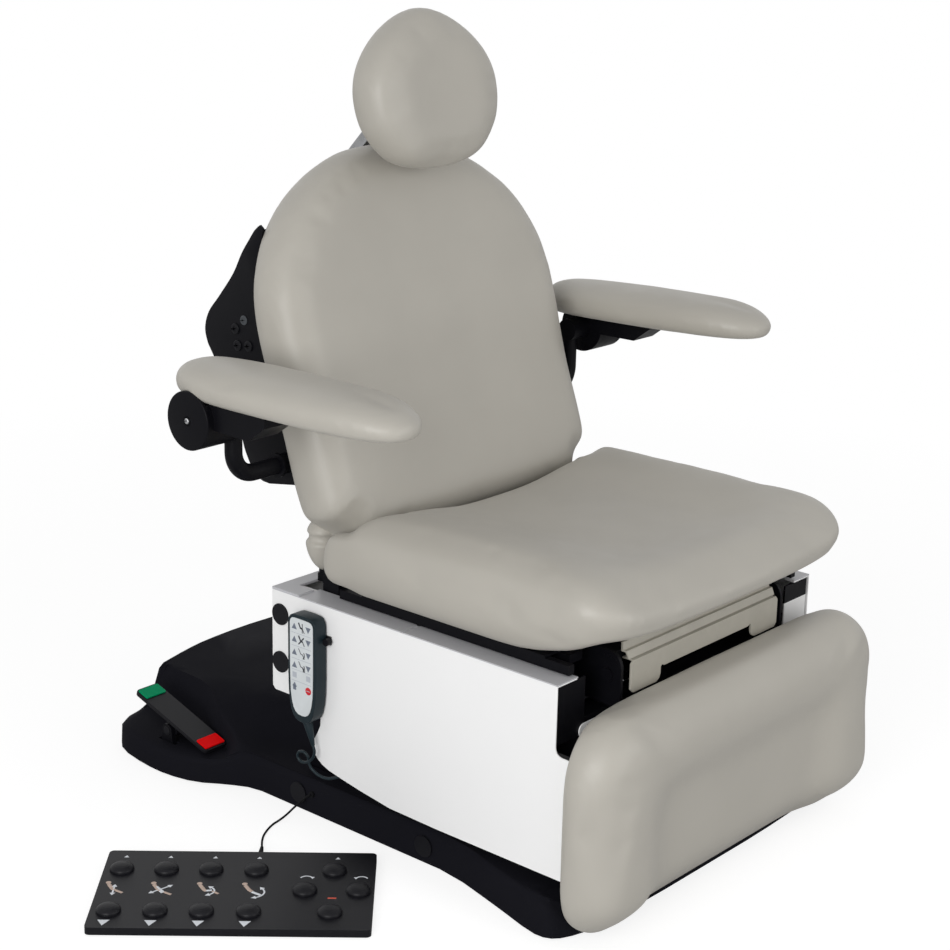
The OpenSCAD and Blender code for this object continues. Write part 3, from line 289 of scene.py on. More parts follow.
class ChairLook(bpy.types.PropertyGroup):
    """Colours of the finishes, as sRGB hex values; the top flanges' grey is painted shade on the white sheet.
    """
    upholstery: bpy.props.StringProperty(name="Upholstery", description="Vinyl of the cushions",
                                         default="#B4B0A7")
    cover: bpy.props.StringProperty(name="Base cover", description="Moulded base cover", default="#1A1A1F")
    frame: bpy.props.StringProperty(name="Frame", description="Powder-coated frame and brackets",
                                    default="#0E0E12")
    panel: bpy.props.StringProperty(name="Housing", description="White housing panels",
                                    default="#FAFAFA")
    # the top flanges are the white sheet painted grey: painted shade for the seat above them
    flange: bpy.props.StringProperty(name="Top flanges", description="Folded top edges of the housing",
                                     default="#C6C6CA")
    steel: bpy.props.StringProperty(name="Bright steel", description="Plated bars and glides",
                                    default="#C9CACC")
    case: bpy.props.StringProperty(name="Handset case", description="Slate handset case", default="#1A272D")
    keypad: bpy.props.StringProperty(name="Keypad", description="Membrane of the handset",
                                     default="#D9DEE0")
    green: bpy.props.StringProperty(name="Green pad", description="Release pad of the pedal",
                                    default="#009664")
    red: bpy.props.StringProperty(name="Red pad", description="Brake pad of the pedal", default="#F5090E")
    tan: bpy.props.StringProperty(name="Lever", description="Clamp lever of the headrest", default="#9C8279")


# Mesh helpers

def deselect():
    bpy.ops.object.select_all(action="DESELECT")


def pick(obj):
    """Makes obj the only selected and active object."""
    deselect()
    obj.hide_set(False)
    obj.hide_viewport = False
    obj.select_set(True)
    bpy.context.view_layer.objects.active = obj
    return obj


def settle(obj):
    """Puts a finished piece's place into its mesh."""
    pick(obj)
    bpy.ops.object.transform_apply(location=True, rotation=True, scale=True)
    return obj


def own_copy(name, new_name):
    """A merged copy of a CAD node's mesh, as a new object at the origin."""
    source = frame["nodes"][name]
    made = bpy.data.objects.new(new_name, source.data.copy())
    bpy.context.collection.objects.link(made)
    made.data.materials.clear()
    for key in list(made.data.attributes.keys()):
        if key.startswith("_"):
            made.data.attributes.remove(made.data.attributes[key])
    pick(made)
    bpy.ops.object.mode_set(mode="EDIT")
    bpy.ops.mesh.select_all(action="SELECT")
    bpy.ops.mesh.remove_doubles(threshold=WELD)
    bpy.ops.mesh.customdata_custom_splitnormals_clear()
    bpy.ops.object.mode_set(mode="OBJECT")
    return made


def modifier(obj, kind, **settings):
    """Adds a modifier, sets it and applies it."""
    pick(obj)
    made = obj.modifiers.new(kind.lower(), kind)
    for key, value in settings.items():
        setattr(made, key, value)
    bpy.ops.object.modifier_apply(modifier=made.name)
    return obj


def smooth(obj, degrees=35):
    pick(obj)
    bpy.ops.object.shade_smooth_by_angle(angle=math.radians(degrees), keep_sharp_edges=False)
    return obj


def eased(name, new_name, width, slot_name, body, material):
    """A copy of a plate or bracket whose sharp edges are rounded, in place of its CAD node."""
    made = own_copy(name, new_name)
    pick(made)
    bpy.ops.object.mode_set(mode="EDIT")
    bpy.ops.mesh.select_all(action="SELECT")
    bpy.ops.mesh.dissolve_limited(angle_limit=math.radians(0.6))
    bpy.ops.object.mode_set(mode="OBJECT")
    modifier(made, "BEVEL", width=width, segments=2, limit_method="ANGLE", angle_limit=math.radians(40),
             use_clamp_overlap=True, harden_normals=False)
    smooth(made, 38)
    modifier(made, "WEIGHTED_NORMAL", mode="FACE_AREA", weight=50, keep_sharp=True)
    return finish(made, body, slot_name, material, name)


def finish(obj, body, slot_name, material, *nodes):
    """Material, body and the CAD nodes that the piece stands for. The slot name is not used."""
    obj.data.materials.clear()
    obj.data.materials.append(material)
    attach(obj, body)
    if nodes:
        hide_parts(*nodes)
    return obj


def swell(obj, pin_normal, cap):
    """Cloth pressure swells the skin, held where the board carries it; no point moves further than cap."""
    if cap <= 0:
        return obj
    pick(obj)
    held = obj.vertex_groups.new(name="board")
    direction = Vector(pin_normal)
    rest = np.array([v.co for v in obj.data.vertices])
    held.add([v.index for v in obj.data.vertices if v.normal.dot(direction) > BOARD_SIDE], 1.0, "REPLACE")
    cloth = obj.modifiers.new("skin", "CLOTH")
    cloth.settings.quality = 5
    cloth.settings.mass = 0.3
    cloth.settings.tension_stiffness = 30
    cloth.settings.compression_stiffness = 30
    cloth.settings.bending_stiffness = 2.0
    cloth.settings.use_pressure = True
    cloth.settings.uniform_pressure_force = CLOTH_PRESSURE
    cloth.settings.effector_weights.gravity = 0
    cloth.settings.vertex_group_mass = "board"
    cloth.point_cache.frame_start = 1
    cloth.point_cache.frame_end = CLOTH_FRAMES
    for k in range(1, CLOTH_FRAMES + 1):
        bpy.context.scene.frame_set(k)
    bpy.ops.object.modifier_apply(modifier=cloth.name)
    bpy.context.scene.frame_set(1)
    moved = np.array([v.co for v in obj.data.vertices])
    step = moved - rest
    length = np.linalg.norm(step, axis=1, keepdims=True)
    soft = cap * np.tanh(length / cap) / np.maximum(length, 1e-9)
    obj.data.vertices.foreach_set("co", (rest + step * soft).astype(np.float32).ravel())
    obj.data.update()
    obj.vertex_groups.clear()
    return obj


def relax(obj, times, factor=0.5):
    """Smooths a mesh evenly."""
    return modifier(obj, "SMOOTH", iterations=times, factor=factor)


def match_box(obj, name):
    """Stretches a smoothed skin back to the reach of its CAD node."""
    low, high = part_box(name)
    places = np.array([v.co for v in obj.data.vertices])
    least, most = places.min(0), places.max(0)
    places = np.array(low) + (places - least) * (np.array(high) - np.array(low)) / (most - least)
    obj.data.vertices.foreach_set("co", places.astype(np.float32).ravel())
    obj.data.update()
    return obj


def cushion(name, new_name, pin_normal, body, material, soften=(12, 10)):
    """A formed cushion from its CAD solid: a fine even skin, smoothed, swollen and smoothed again."""
    made = own_copy(name, new_name)
    modifier(made, "SUBSURF", levels=2, render_levels=2)
    modifier(made, "REMESH", mode="VOXEL", voxel_size=SIZES.voxel, adaptivity=0)
    relax(made, soften[0])
    swell(made, pin_normal, SIZES.puff)
    relax(made, soften[1])
    modifier(made, "SUBSURF", levels=1, render_levels=1)
    match_box(made, name)
    pick(made)
    bpy.ops.object.shade_smooth()
    finish(made, body, "upholstery", material, name)
    return made


def curve_points(points, steps):
    """Points along a smooth curve through the route's own points."""
    found = []
    n = len(points)
    for i in range(n - 1):
        a = Vector(points[max(i - 1, 0)])
        b = Vector(points[i])
        c = Vector(points[i + 1])
        d = Vector(points[min(i + 2, n - 1)])
        for j in range(steps):
            t = j / steps
            found.append(0.5 * (2 * b + (c - a) * t + (2 * a - 5 * b + 4 * c - d) * t * t
                                + (3 * b - a - 3 * c + d) * t ** 3))
    found.append(Vector(points[-1]))
    return found


def tube_curve(name, points, diameter):
    """A cord as one open curve with a round section."""
    data = bpy.data.curves.new(name, "CURVE")
    data.dimensions = "3D"
    data.bevel_depth = diameter / 2
    data.bevel_resolution = 5
    data.use_fill_caps = True
    spline = data.splines.new("POLY")
    spline.points.add(len(points) - 1)
    for point, place in zip(spline.points, points):
        point.co = (*place, 1)
    spline.use_smooth = True
    made = bpy.data.objects.new(name, data)
    bpy.context.collection.objects.link(made)
    return made


def line_mark(points, width):
    """A printed line through points of the drawing plane, given in millimetres."""
    made = tube_curve("line", [(x * MM, y * MM, 0) for x, y in points], width * MM)
    made.data.bevel_resolution = 2
    pick(made)
    bpy.ops.object.convert(target="MESH")
    made = bpy.context.view_layer.objects.active
    made.scale.z = INK / (width * MM)
    return settle(made)


def flat_mark(sides, radius, place, turn=0.0, stretch=(1, 1)):
    """A printed spot with so many sides, such as a triangle or a disc, given in millimetres."""
    deselect()
    bpy.ops.mesh.primitive_cylinder_add(vertices=sides, radius=radius * MM, depth=INK,
                                        location=(place[0] * MM, place[1] * MM, 0), rotation=(0, 0, turn))
    made = bpy.context.active_object
    made.scale = (*stretch, 1)
    return settle(made)


def lay(marks, name, where, body, slot_name, material):
    """Marks drawn flat, joined and laid on the surface that they are printed on."""
    made = joined(marks, name)
    made.matrix_world = where
    settle(made)
    return finish(made, body, slot_name, material)


def arc_points(x, y, radius, start, stop, steps=10):
    """Points along an arc, with its angles in degrees."""
    angles = [math.radians(start + (stop - start) * k / steps) for k in range(steps + 1)]
    return [(x + radius * math.cos(a), y + radius * math.sin(a)) for a in angles]


def outline_plate(points, thickness):
    """A plate of the given outline, in millimetres, lying in the drawing plane and centred on it."""
    data = bpy.data.curves.new("plate", "CURVE")
    data.dimensions = "2D"
    data.fill_mode = "BOTH"
    data.extrude = thickness * MM / 2
    spline = data.splines.new("POLY")
    spline.points.add(len(points) - 1)
    for point, place in zip(spline.points, points):
        point.co = (place[0] * MM, place[1] * MM, 0, 1)
    spline.use_cyclic_u = True
    made = bpy.data.objects.new("plate", data)
    bpy.context.collection.objects.link(made)
    pick(made)
    bpy.ops.object.convert(target="MESH")
    bpy.ops.object.mode_set(mode="EDIT")
    bpy.ops.mesh.select_all(action="SELECT")
    bpy.ops.mesh.remove_doubles(threshold=WELD)
    bpy.ops.mesh.normals_make_consistent(inside=False)
    bpy.ops.object.mode_set(mode="OBJECT")
    return bpy.context.view_layer.objects.active


def screw_head(radius, height, place, side):
    """A domed screw head with a round socket, facing along x to the given side."""
    deselect()
    bpy.ops.mesh.primitive_cylinder_add(vertices=32, radius=radius * MM, depth=height * MM)
    made = bpy.context.active_object
    bpy.ops.object.mode_set(mode="EDIT")
    bpy.ops.mesh.select_all(action="DESELECT")
    mesh = bmesh.from_edit_mesh(made.data)
    for face in mesh.faces:
        face.select = face.normal.z > 0.9
    bmesh.update_edit_mesh(made.data)
    bpy.ops.mesh.bevel(offset=height * 0.45 * MM, segments=3, affect="EDGES")
    bpy.ops.mesh.select_all(action="DESELECT")
    mesh = bmesh.from_edit_mesh(made.data)
    flat = max((f for f in mesh.faces if f.normal.z > 0.9), key=lambda f: f.calc_area())
    flat.select = True
    bmesh.update_edit_mesh(made.data)
    bpy.ops.mesh.inset(thickness=radius * 0.4 * MM)
    bpy.ops.mesh.extrude_region_move(TRANSFORM_OT_translate={"value": (0, 0, -height * 0.4 * MM)})
    bpy.ops.object.mode_set(mode="OBJECT")
    made.rotation_euler = (0, math.radians(90 * side), 0)
    made.location = [p * MM for p in place]
    settle(made)
    return smooth(made, 40)


def joined(objs, name):
    """Several objects made into one."""
    deselect()
    for o in objs:
        o.select_set(True)
    bpy.context.view_layer.objects.active = objs[0]
    if len(objs) > 1:
        bpy.ops.object.join()
    made = bpy.context.view_layer.objects.active
    made.name = name
    return settle(made)


# Pieces

class CHAIR_OT_finishes(bpy.types.Operator):
    """Give every CAD node the finish of its material slot"""
    bl_idname = "chair.finishes"
    bl_label = "Finishes"

    def execute(self, context):
        MATERIALS.update({
            "upholstery": vinyl_skin(),
            "moulded_black": moulded_cover(),
            "painted_black": powder_black(),
            "panel_white": powder_white("sheet_steel_powder_coated_white", LOOK.panel),
            # the white powder coat again, in a grey that paints the seat's shade onto the top flanges
            "panel_white_painted_shade": powder_white("sheet_steel_white_painted_shade", LOOK.flange),
            "bright_steel": bright_steel(),
            "rubber_black": soft_rubber(),
            "plastic_black": abs_plastic("abs_black_moulded", "#151519", 0.4, shine=0.14),
            "handset_slate": abs_plastic("abs_slate_moulded", LOOK.case, 0.4, shine=0.2),
            "keypad_pale": abs_plastic("polyester_membrane", LOOK.keypad, 0.42),
            "pad_green": abs_plastic("polypropylene_green_moulded", LOOK.green, 0.5, shine=0.06),
            "pad_red": abs_plastic("polypropylene_red_moulded", LOOK.red, 0.5, shine=0.06),
            "lever_tan": abs_plastic("nylon_tan_moulded", LOOK.tan, 0.45),
            "plug_grey": abs_plastic("polyethylene_grey_plug", "#45484C", 0.5, shine=0.2),
            "cover_plastic": abs_plastic("abs_greige_moulded", "#B2AEA3", 0.45),
            "ink_white": printed("ink_white_printed", "#E2E6EC"),
            "ink_grey": printed("ink_grey_printed", "#6E7684"),
            "ink_pale": printed("ink_pale_grey_printed", "#B9BEC6"),
            "ink_dark": printed("ink_dark_printed", "#23262E"),
            "ink_red": printed("ink_red_printed", "#CE1F2B"),
            "ink_coral": printed("ink_coral_printed", "#D8563F"),
            "ink_tan": printed("ink_tan_printed", "#C3AC9E"),
        })
        slots = {s["node"]: s["material_slot"] for s in frame["record"]["subparts"]}
        for name, obj in frame["nodes"].items():
            obj.data.materials.clear()
            obj.data.materials.append(MATERIALS[slots[name]])
        return {"FINISHED"}


class CHAIR_OT_cushions(bpy.types.Operator):
    """Form the seat, back, leg and head cushions and the arm pads"""
    bl_idname = "chair.cushions"
    bl_label = "Cushions"

    def execute(self, context):
        skin = MATERIALS["upholstery"]
        lean = math.radians(18)
        cushion("seat_cushion", "seat_skin", (0, 0, -1), "seat", skin)
        cushion("back_cushion", "back_skin", (0, math.cos(lean), -math.sin(lean)), "back", skin)
        cushion("leg_cushion", "leg_skin", (0, 1, 0), "leg_carriage", skin)
        cushion("head_cushion", "head_skin", (0, 1, 0), "head", skin)
        for side in ("left", "right"):
            cushion(f"arm_{side}_pad", f"arm_{side}_skin", (0, 0, -1), f"arm_{side}", skin, (5, 4))
        self.folds(skin)
        return {"FINISHED"}

    def folds(self, skin):
        """The covers' soft folds where the seat's rear corners meet the back."""
        low, high = FOLD_RING
        x, y, z = FOLD_PLACE
        both = []
        for side in (-1, 1):
            deselect()
            bpy.ops.mesh.primitive_uv_sphere_add(segments=48, ring_count=32, radius=1)
            made = bpy.context.active_object
            bpy.ops.object.mode_set(mode="EDIT")
            bpy.ops.mesh.select_all(action="DESELECT")
            mesh = bmesh.from_edit_mesh(made.data)
            for face in [f for f in mesh.faces if low < f.calc_center_median().z < high]:
                face.select = True
            bmesh.update_edit_mesh(made.data)
            bpy.ops.transform.resize(value=(FOLD_CREASE, FOLD_CREASE, 1))
            bpy.ops.object.mode_set(mode="OBJECT")
            modifier(made, "SIMPLE_DEFORM", deform_method="TAPER", factor=FOLD_TAPER, deform_axis="Z")
            modifier(made, "SUBSURF", levels=1, render_levels=1)
            made.scale = [size * MM for size in FOLD_SIZE]
            made.location = (side * x * MM, y * MM, z * MM)
            both.append(settle(made))
        made = joined(both, "seat_corner_folds")
        bpy.ops.object.shade_smooth()
        finish(made, "seat", "upholstery", skin)


class CHAIR_OT_rigid(bpy.types.Operator):
    """Round the edges of the plates, panels and brackets that show"""
    bl_idname = "chair.rigid"
    bl_label = "Plates and brackets"

    def execute(self, context):
        white = MATERIALS["panel_white"]
        black = MATERIALS["painted_black"]
        for name in ("housing_left", "housing_right", "housing_front", "housing_rear"):
            eased(name, f"{name}_panel", 0.5 * MM, "panel_white", "platform", white)
        # the top flanges take the grey of painted shade
        eased("housing_top_plates", "housing_flanges", 0.5 * MM, "panel_white", "platform",
              MATERIALS["panel_white_painted_shade"])
        dark = [self.plate(-298.5, 343.5, 65, 91), self.plate(298.5, 374, 65, 30)]
        finish(joined(dark, "front_shield_plates"), "platform", "painted_black", black, "front_shields")
        light = joined([self.plate(298.5, 328.5, 65, 61)], "front_return_plate")
        finish(light, "platform", "panel_white", white)
        eased("seat_frame", "seat_frame_steel", SIZES.edge, "painted_black", "seat", black)
        for name in ("back_frame", "arm_posts"):
            eased(name, f"{name}_steel", SIZES.edge, "painted_black", "back", black)
        for side in ("left", "right"):
            eased(f"arm_{side}_bracket", f"arm_{side}_hub", 2.4 * MM, "painted_black", f"arm_{side}", black)
        for name, new_name, width, slot_name, body in (
                ("foot_control_case", "foot_plate", 1.2, "plastic_black", "base"),
                ("brake_pedal", "brake_pedal_arm", 1.2, "plastic_black", "pedal"),
                ("pedal_pad_green", "pad_green_grip", 0.6, "pad_green", "pedal"),
                ("pedal_pad_red", "pad_red_grip", 0.6, "pad_red", "pedal"),
                ("gap_cover_lower", "gap_cover_front", 0.8, "cover_plastic", "seat"),
                ("gap_cover_upper", "gap_cover_lip", 0.6, "cover_plastic", "seat")):
            eased(name, new_name, width * MM, slot_name, body, MATERIALS[slot_name])
        return {"FINISHED"}

    def plate(self, x, z, width, height):
        """A sheet that closes the housing's front beside the leg section."""
        corners = [(a * width / 2, b * height / 2) for a, b in ((-1, -1), (1, -1), (1, 1), (-1, 1))]
        made = outline_plate(corners, FRONT_SHEET)
        modifier(made, "BEVEL", width=0.6 * MM, segments=2)
        made.rotation_euler = (math.radians(90), 0, 0)
        made.location = (x * MM, FRONT_SHEET_Y * MM, z * MM)
        return settle(made)


class CHAIR_OT_base_cover(bpy.types.Operator):
    """Smooth the moulded cover of the base"""
    bl_idname = "chair.base_cover"
    bl_label = "Base cover"

    def execute(self, context):
        made = own_copy("base_shell", "base_cover")
        smooth(made, 42)
        finish(made, "base", "moulded_black", MATERIALS["moulded_black"], "base_shell")
        return {"FINISHED"}


class CHAIR_OT_back_shell(bpy.types.Operator):
    """Make the drawn shell behind the back, with its two side plates and bolts"""
    bl_idname = "chair.back_shell"
    bl_label = "Back shell"

    def execute(self, context):
        black = MATERIALS["painted_black"]
        foot = [(142, 543), (162, 553), (184, 586), (199, 628), (227, 688), (262, 740)]
        swept = [(273, 757), (278, 780), (268, 808), (241, 839), (208, 879), (187, 915), (170, 938),
                 (157, 955)]
        rear = [(p.x, p.y) for p in curve_points([(y, z, 0) for y, z in foot + swept], 6)]
        tip = [(149, 962), (143, 966), (136, 961), (144, 922)]
        outline = [(29.5, 562), (45, 556), (127, 542)] + rear + tip
        plates = []
        for x in (-SHELL_X, SHELL_X):
            plate = outline_plate(outline, SHELL_PLATE)
            modifier(plate, "BEVEL", width=0.9 * MM, segments=2, limit_method="ANGLE",
                     angle_limit=math.radians(60))
            plate.matrix_world = Matrix.Translation((x * MM, 0, 0)) @ SIDE_VIEW
            plates.append(settle(plate))
        wall = []
        ends = [rear[0]] + rear + [rear[-1]]
        for before, place, after in zip(ends, rear, ends[2:]):
            along = Vector((after[0] - before[0], after[1] - before[1])).normalized()
            wall.append((place[0] - along.y * SHELL_WALL, place[1] + along.x * SHELL_WALL))
        skin = outline_plate(rear + wall[::-1], SHELL_INSIDE)
        skin.matrix_world = SIDE_VIEW
        made = joined(plates + [settle(skin)], "back_shell_cover")
        smooth(made, 35)
        finish(made, "back", "painted_black", black, "back_shell")

        bolts = []
        for side in (-1, 1):
            for y, z in ((203, 789), (198, 762), (172, 765)):
                bolts.append(screw_head(9, 2.6, (side * (SHELL_FACE + 1.2), y, z), side))
        finish(joined(bolts, "back_shell_bolts"), "back", "painted_black", MATERIALS["plastic_black"])
        plugs = [screw_head(8, 1.6, (side * (SHELL_FACE + 0.7), 183, 806), side) for side in (-1, 1)]
        finish(joined(plugs, "back_shell_plugs"), "back", "plastic_black", MATERIALS["plug_grey"])
        return {"FINISHED"}


class CHAIR_OT_handset(bpy.types.Operator):
    """Make the handset and print its keys: triangles with seat signs between, two memories, home and stop"""
    bl_idname = "chair.handset"
    bl_label = "Handset"

    def execute(self, context):
        half = [(0, 0), (9, 0.8), (15, 3.5), (20.5, 9), (24.5, 18), (27.5, 31), (30, 48), (31, 80), (31, 150),
                (31, 165), (29.5, 172.5), (25, 178.5), (18, 181), (0, 181.6)]
        body = outline_plate(self.mirrored(half), CASE_DEPTH)
        modifier(body, "BEVEL", width=5.2 * MM, segments=5, limit_method="ANGLE",
                 angle_limit=math.radians(60))
        body.matrix_world = HANDSET @ Matrix.Translation((0, 0, CASE_DEPTH / 2 * MM))
        settle(body)
        deselect()
        bpy.ops.mesh.primitive_cone_add(vertices=40, radius1=9 * MM, radius2=3 * MM, depth=46 * MM)
        sleeve = bpy.context.active_object
        modifier(sleeve, "BEVEL", width=1 * MM, segments=3, limit_method="ANGLE",
                 angle_limit=math.radians(50))
        sleeve.matrix_world = (Matrix.Translation((-350 * MM, -36 * MM, 200 * MM))
                               @ Matrix.Rotation(math.radians(162), 4, "X")
                               @ Matrix.Translation((0, 0, 23 * MM)))
        settle(sleeve)
        case = smooth(joined([body, sleeve], "handset_shell"), 45)
        finish(case, "platform", "handset_slate", MATERIALS["handset_slate"], "handset_case")
        half = [(0, 12), (8, 13), (14, 16.5), (18.5, 23), (22, 34), (24.5, 49), (25.6, 80), (25.8, 120),
                (25.8, 166), (24.6, 171), (21, 174.5), (16, 175.6), (0, 176)]
        film = outline_plate(self.mirrored(half), FILM)
        film.matrix_world = HANDSET @ Matrix.Translation((0, 0, (CASE_DEPTH + 0.3) * MM))
        settle(film)
        film.name = "handset_film"
        finish(smooth(film, 30), "platform", "keypad_pale", MATERIALS["keypad_pale"], "handset_keypad")

        face = HANDSET @ Matrix.Translation((0, 0, (CASE_DEPTH + 0.78) * MM))
        rows = (161.5, 139.7, 117.9, 96)
        grey = [flat_mark(3, 6.6, (-15.5, y - 1.2)) for y in rows]
        grey += [flat_mark(3, 6.6, (15.5, y + 1.2), math.pi) for y in rows]
        grey.append(flat_mark(3, 6, (-15.5, 61.5), 0, (1, 0.8)))
        grey.append(flat_mark(4, 4.6, (-15.5, 56.4), math.radians(45)))
        lay(grey, "handset_triangles", face, "platform", "handset_slate", MATERIALS["ink_grey"])
        signs = []
        for row, y in enumerate(rows):
            signs.append(line_mark([(-6, y + 8), (-1.5, y), (3.5, y - 1)], 3.2 if row < 2 else 1.6))
            signs.append(line_mark([(3, y - 1), (7, y - 7.5)], 1.8 if row < 3 else 3.2))
            if row == 0:
                signs.append(line_mark([(2.5, y + 8), (2.5, y - 8)], 1.8))
            elif row == 1:
                signs.append(line_mark([(6, y + 6.5), (-6, y - 6.5)], 2.2))
            else:
                signs.append(line_mark(arc_points(0, y - 1.5, 7, -60, 40), 1.8))
        lay(signs, "handset_seat_signs", face, "platform", "handset_slate", MATERIALS["ink_dark"])
        pale = [line_mark([(-22, y), (22, y)], 0.8) for y in (150.6, 128.8, 107, 88, 69)]
        pale += [flat_mark(4, 6.4, (x, 79), math.radians(45)) for x in (-15.5, 15.5)]
        lay(pale, "handset_rules", face, "platform", "handset_slate", MATERIALS["ink_pale"])
        raised = HANDSET @ Matrix.Translation((0, 0, (CASE_DEPTH + 0.9) * MM))
        stop = [flat_mark(32, 6.4, (15.5, 58.5))]
        lay(stop, "handset_stop", raised, "platform", "pad_red", MATERIALS["ink_red"])
        top = HANDSET @ Matrix.Translation((0, 0, (CASE_DEPTH + 1.1) * MM))
        bar = [line_mark([(11.8, 58.5), (19.2, 58.5)], 1.3)]
        lay(bar, "handset_stop_bar", top, "platform", "keypad_pale", MATERIALS["ink_pale"])
        return {"FINISHED"}

    def mirrored(self, half):
        """A closed outline from its right-hand half."""
        return half + [(-x, y) for x, y in half[-2:0:-1]]


class CHAIR_OT_foot_marks(bpy.types.Operator):
    """Print the foot control's signs: triangles, reclining figures with arrows, arcs and a stop mark"""
    bl_idname = "chair.foot_marks"
    bl_label = "Foot control signs"

    def execute(self, context):
        top = FOOT_CONTROL
        white = []
        tan = []
        for column, x in enumerate((-184, -115, -45, 24)):
            white.append(flat_mark(3, 11, (x - 1, 18), math.pi, (0.95, 1)))
            white.append(flat_mark(3, 4.5, (x + 3, 222)))
            back = [(x - 11, 133), (x - 3, 118), (x + 1, 114)]
            leg = [(x + 2, 114), (x + 14, 106)]
            tan.append(line_mark(back, 6.5))
            tan.append(flat_mark(16, 4.2, (x - 12, 137.5)))
            if column == 0:
                tan.append(line_mark(leg, 5))
                white += self.arrow((x - 1, 127), (x - 1, 103))
            elif column == 1:
                tan.append(line_mark([(x + 7, 110), (x + 19, 102)], 5))
                white.append(line_mark([(x - 7, 126), (x + 6, 108)], 7))
                white += self.arrow((x + 14, 129), (x - 12, 108))
            elif column == 2:
                tan.append(line_mark([(x + 10, 114), (x + 20, 106)], 4.5))
                white.append(line_mark([(x - 1, 115), (x + 9, 117)], 5))
                white += self.arrow((x + 5, 131), (x + 3, 98), arc_points(x, 114.5, 13, 62, -70))
            else:
                white.append(line_mark([(x + 1, 113), (x + 15, 103)], 5.5))
                white += self.arrow((x + 17, 131), (x + 2, 94), arc_points(x + 3, 112, 17, 45, -80))
        for x in (105, 190):
            white.append(line_mark(arc_points(x, 155, 10, 25, 155), 2.6))
            white.append(flat_mark(3, 4, (x + (9 if x < 150 else -9), 160), math.pi))
        white.append(flat_mark(3, 4.5, (150, 223)))
        lay(white, "foot_signs_white", top, "base", "panel_white", MATERIALS["ink_white"])
        lay(tan, "foot_signs_tan", top, "base", "lever_tan", MATERIALS["ink_tan"])
        stop = [line_mark([(141, 96), (154, 96)], 4)]
        lay(stop, "foot_sign_stop", top, "base", "pad_red", MATERIALS["ink_coral"])
        return {"FINISHED"}

    def arrow(self, start, stop, path=None):
        """A printed arrow with a head at both ends, straight or along a path."""
        path = path or [start, stop]
        marks = [line_mark(path, 2.8)]
        for tip, inner in ((path[0], path[1]), (path[-1], path[-2])):
            turn = math.atan2(tip[1] - inner[1], tip[0] - inner[0]) - math.pi / 2
            marks.append(flat_mark(3, 5, tip, turn))
        return marks


class CHAIR_OT_fasteners(bpy.types.Operator):
    """Add the arm hubs' caps and centre screws, and dark discs of painted shade over the holes in the
    housing's top flanges
    """
    bl_idname = "chair.fasteners"
    bl_label = "Screws"

    def execute(self, context):
        for side, name in ((-1, "left"), (1, "right")):
            deselect()
            bpy.ops.mesh.primitive_cylinder_add(vertices=72, radius=46 * MM, depth=7 * MM)
            cap = bpy.context.active_object
            modifier(cap, "BEVEL", width=1.6 * MM, segments=3, limit_method="ANGLE",
                     angle_limit=math.radians(60))
            cap.rotation_euler = (0, math.radians(90), 0)
            cap.location = (side * HUB_CAP_X * MM, HUB_Y * MM, HUB_Z * MM)
            settle(cap)
            cap.name = f"arm_{name}_cap"
            finish(smooth(cap, 40), f"arm_{name}", "painted_black", MATERIALS["painted_black"])
            screw = screw_head(4.5, 2.4, (side * (HUB_CAP_X + 4.5), HUB_Y, HUB_Z), side)
            screw.name = f"arm_{name}_screw"
            finish(screw, f"arm_{name}", "bright_steel", MATERIALS["bright_steel"])
        # flat dark discs laid over the flanges' holes: painted shade for the hollows under them
        holes = [flat_mark(24, 5, (side * 293, -227.5)) for side in (-1, 1)]
        lay(holes, "flange_hole_painted_shade", Matrix.Translation((0, 0, 394.55 * MM)), "platform", "plastic_black",
            MATERIALS["rubber_black"])
        return {"FINISHED"}


class CHAIR_OT_cords(bpy.types.Operator):
    """Lay the handset's cord and the foot control's cord along their routes"""
    bl_idname = "chair.cords"
    bl_label = "Cords"

    def execute(self, context):
        route = [(-350, -50, 156), (-350, -53, 147), (-350, -50, 136), (-350, -42, 127), (-350, -31, 121),
                 (-351, -22, 121), (-352, -16, 128), (-352, -20, 137), (-351, -30, 139), (-349, -37, 132),
                 (-347, -37, 121), (-345, -42, 111), (-342, -55, 103), (-338, -70, 101), (-332, -84, 105),
                 (-326, -96, 112)]
        points = [p * MM for p in curve_points(route, 8)]
        made = tube_curve("handset_lead", points, SIZES.handset_cord)
        finish(made, "platform", "handset_slate", MATERIALS["handset_slate"], "handset_cord")
        route = [(-307, 0, 38), (-312, 1, 37.5), (-320, 6, 32), (-333, 13, 20), (-345, 19, 9), (-358, 22, 3),
                 (-374, 20, 2), (-392, 13, 2), (-410, 3, 2), (-424, -8, 2), (-437, -21, 4), (-450, -35, 7)]
        points = [p * MM for p in curve_points(route, 8)]
        made = tube_curve("foot_lead", points, SIZES.foot_cord)
        finish(made, "base", "rubber_black", MATERIALS["rubber_black"], "foot_cord")
        return {"FINISHED"}


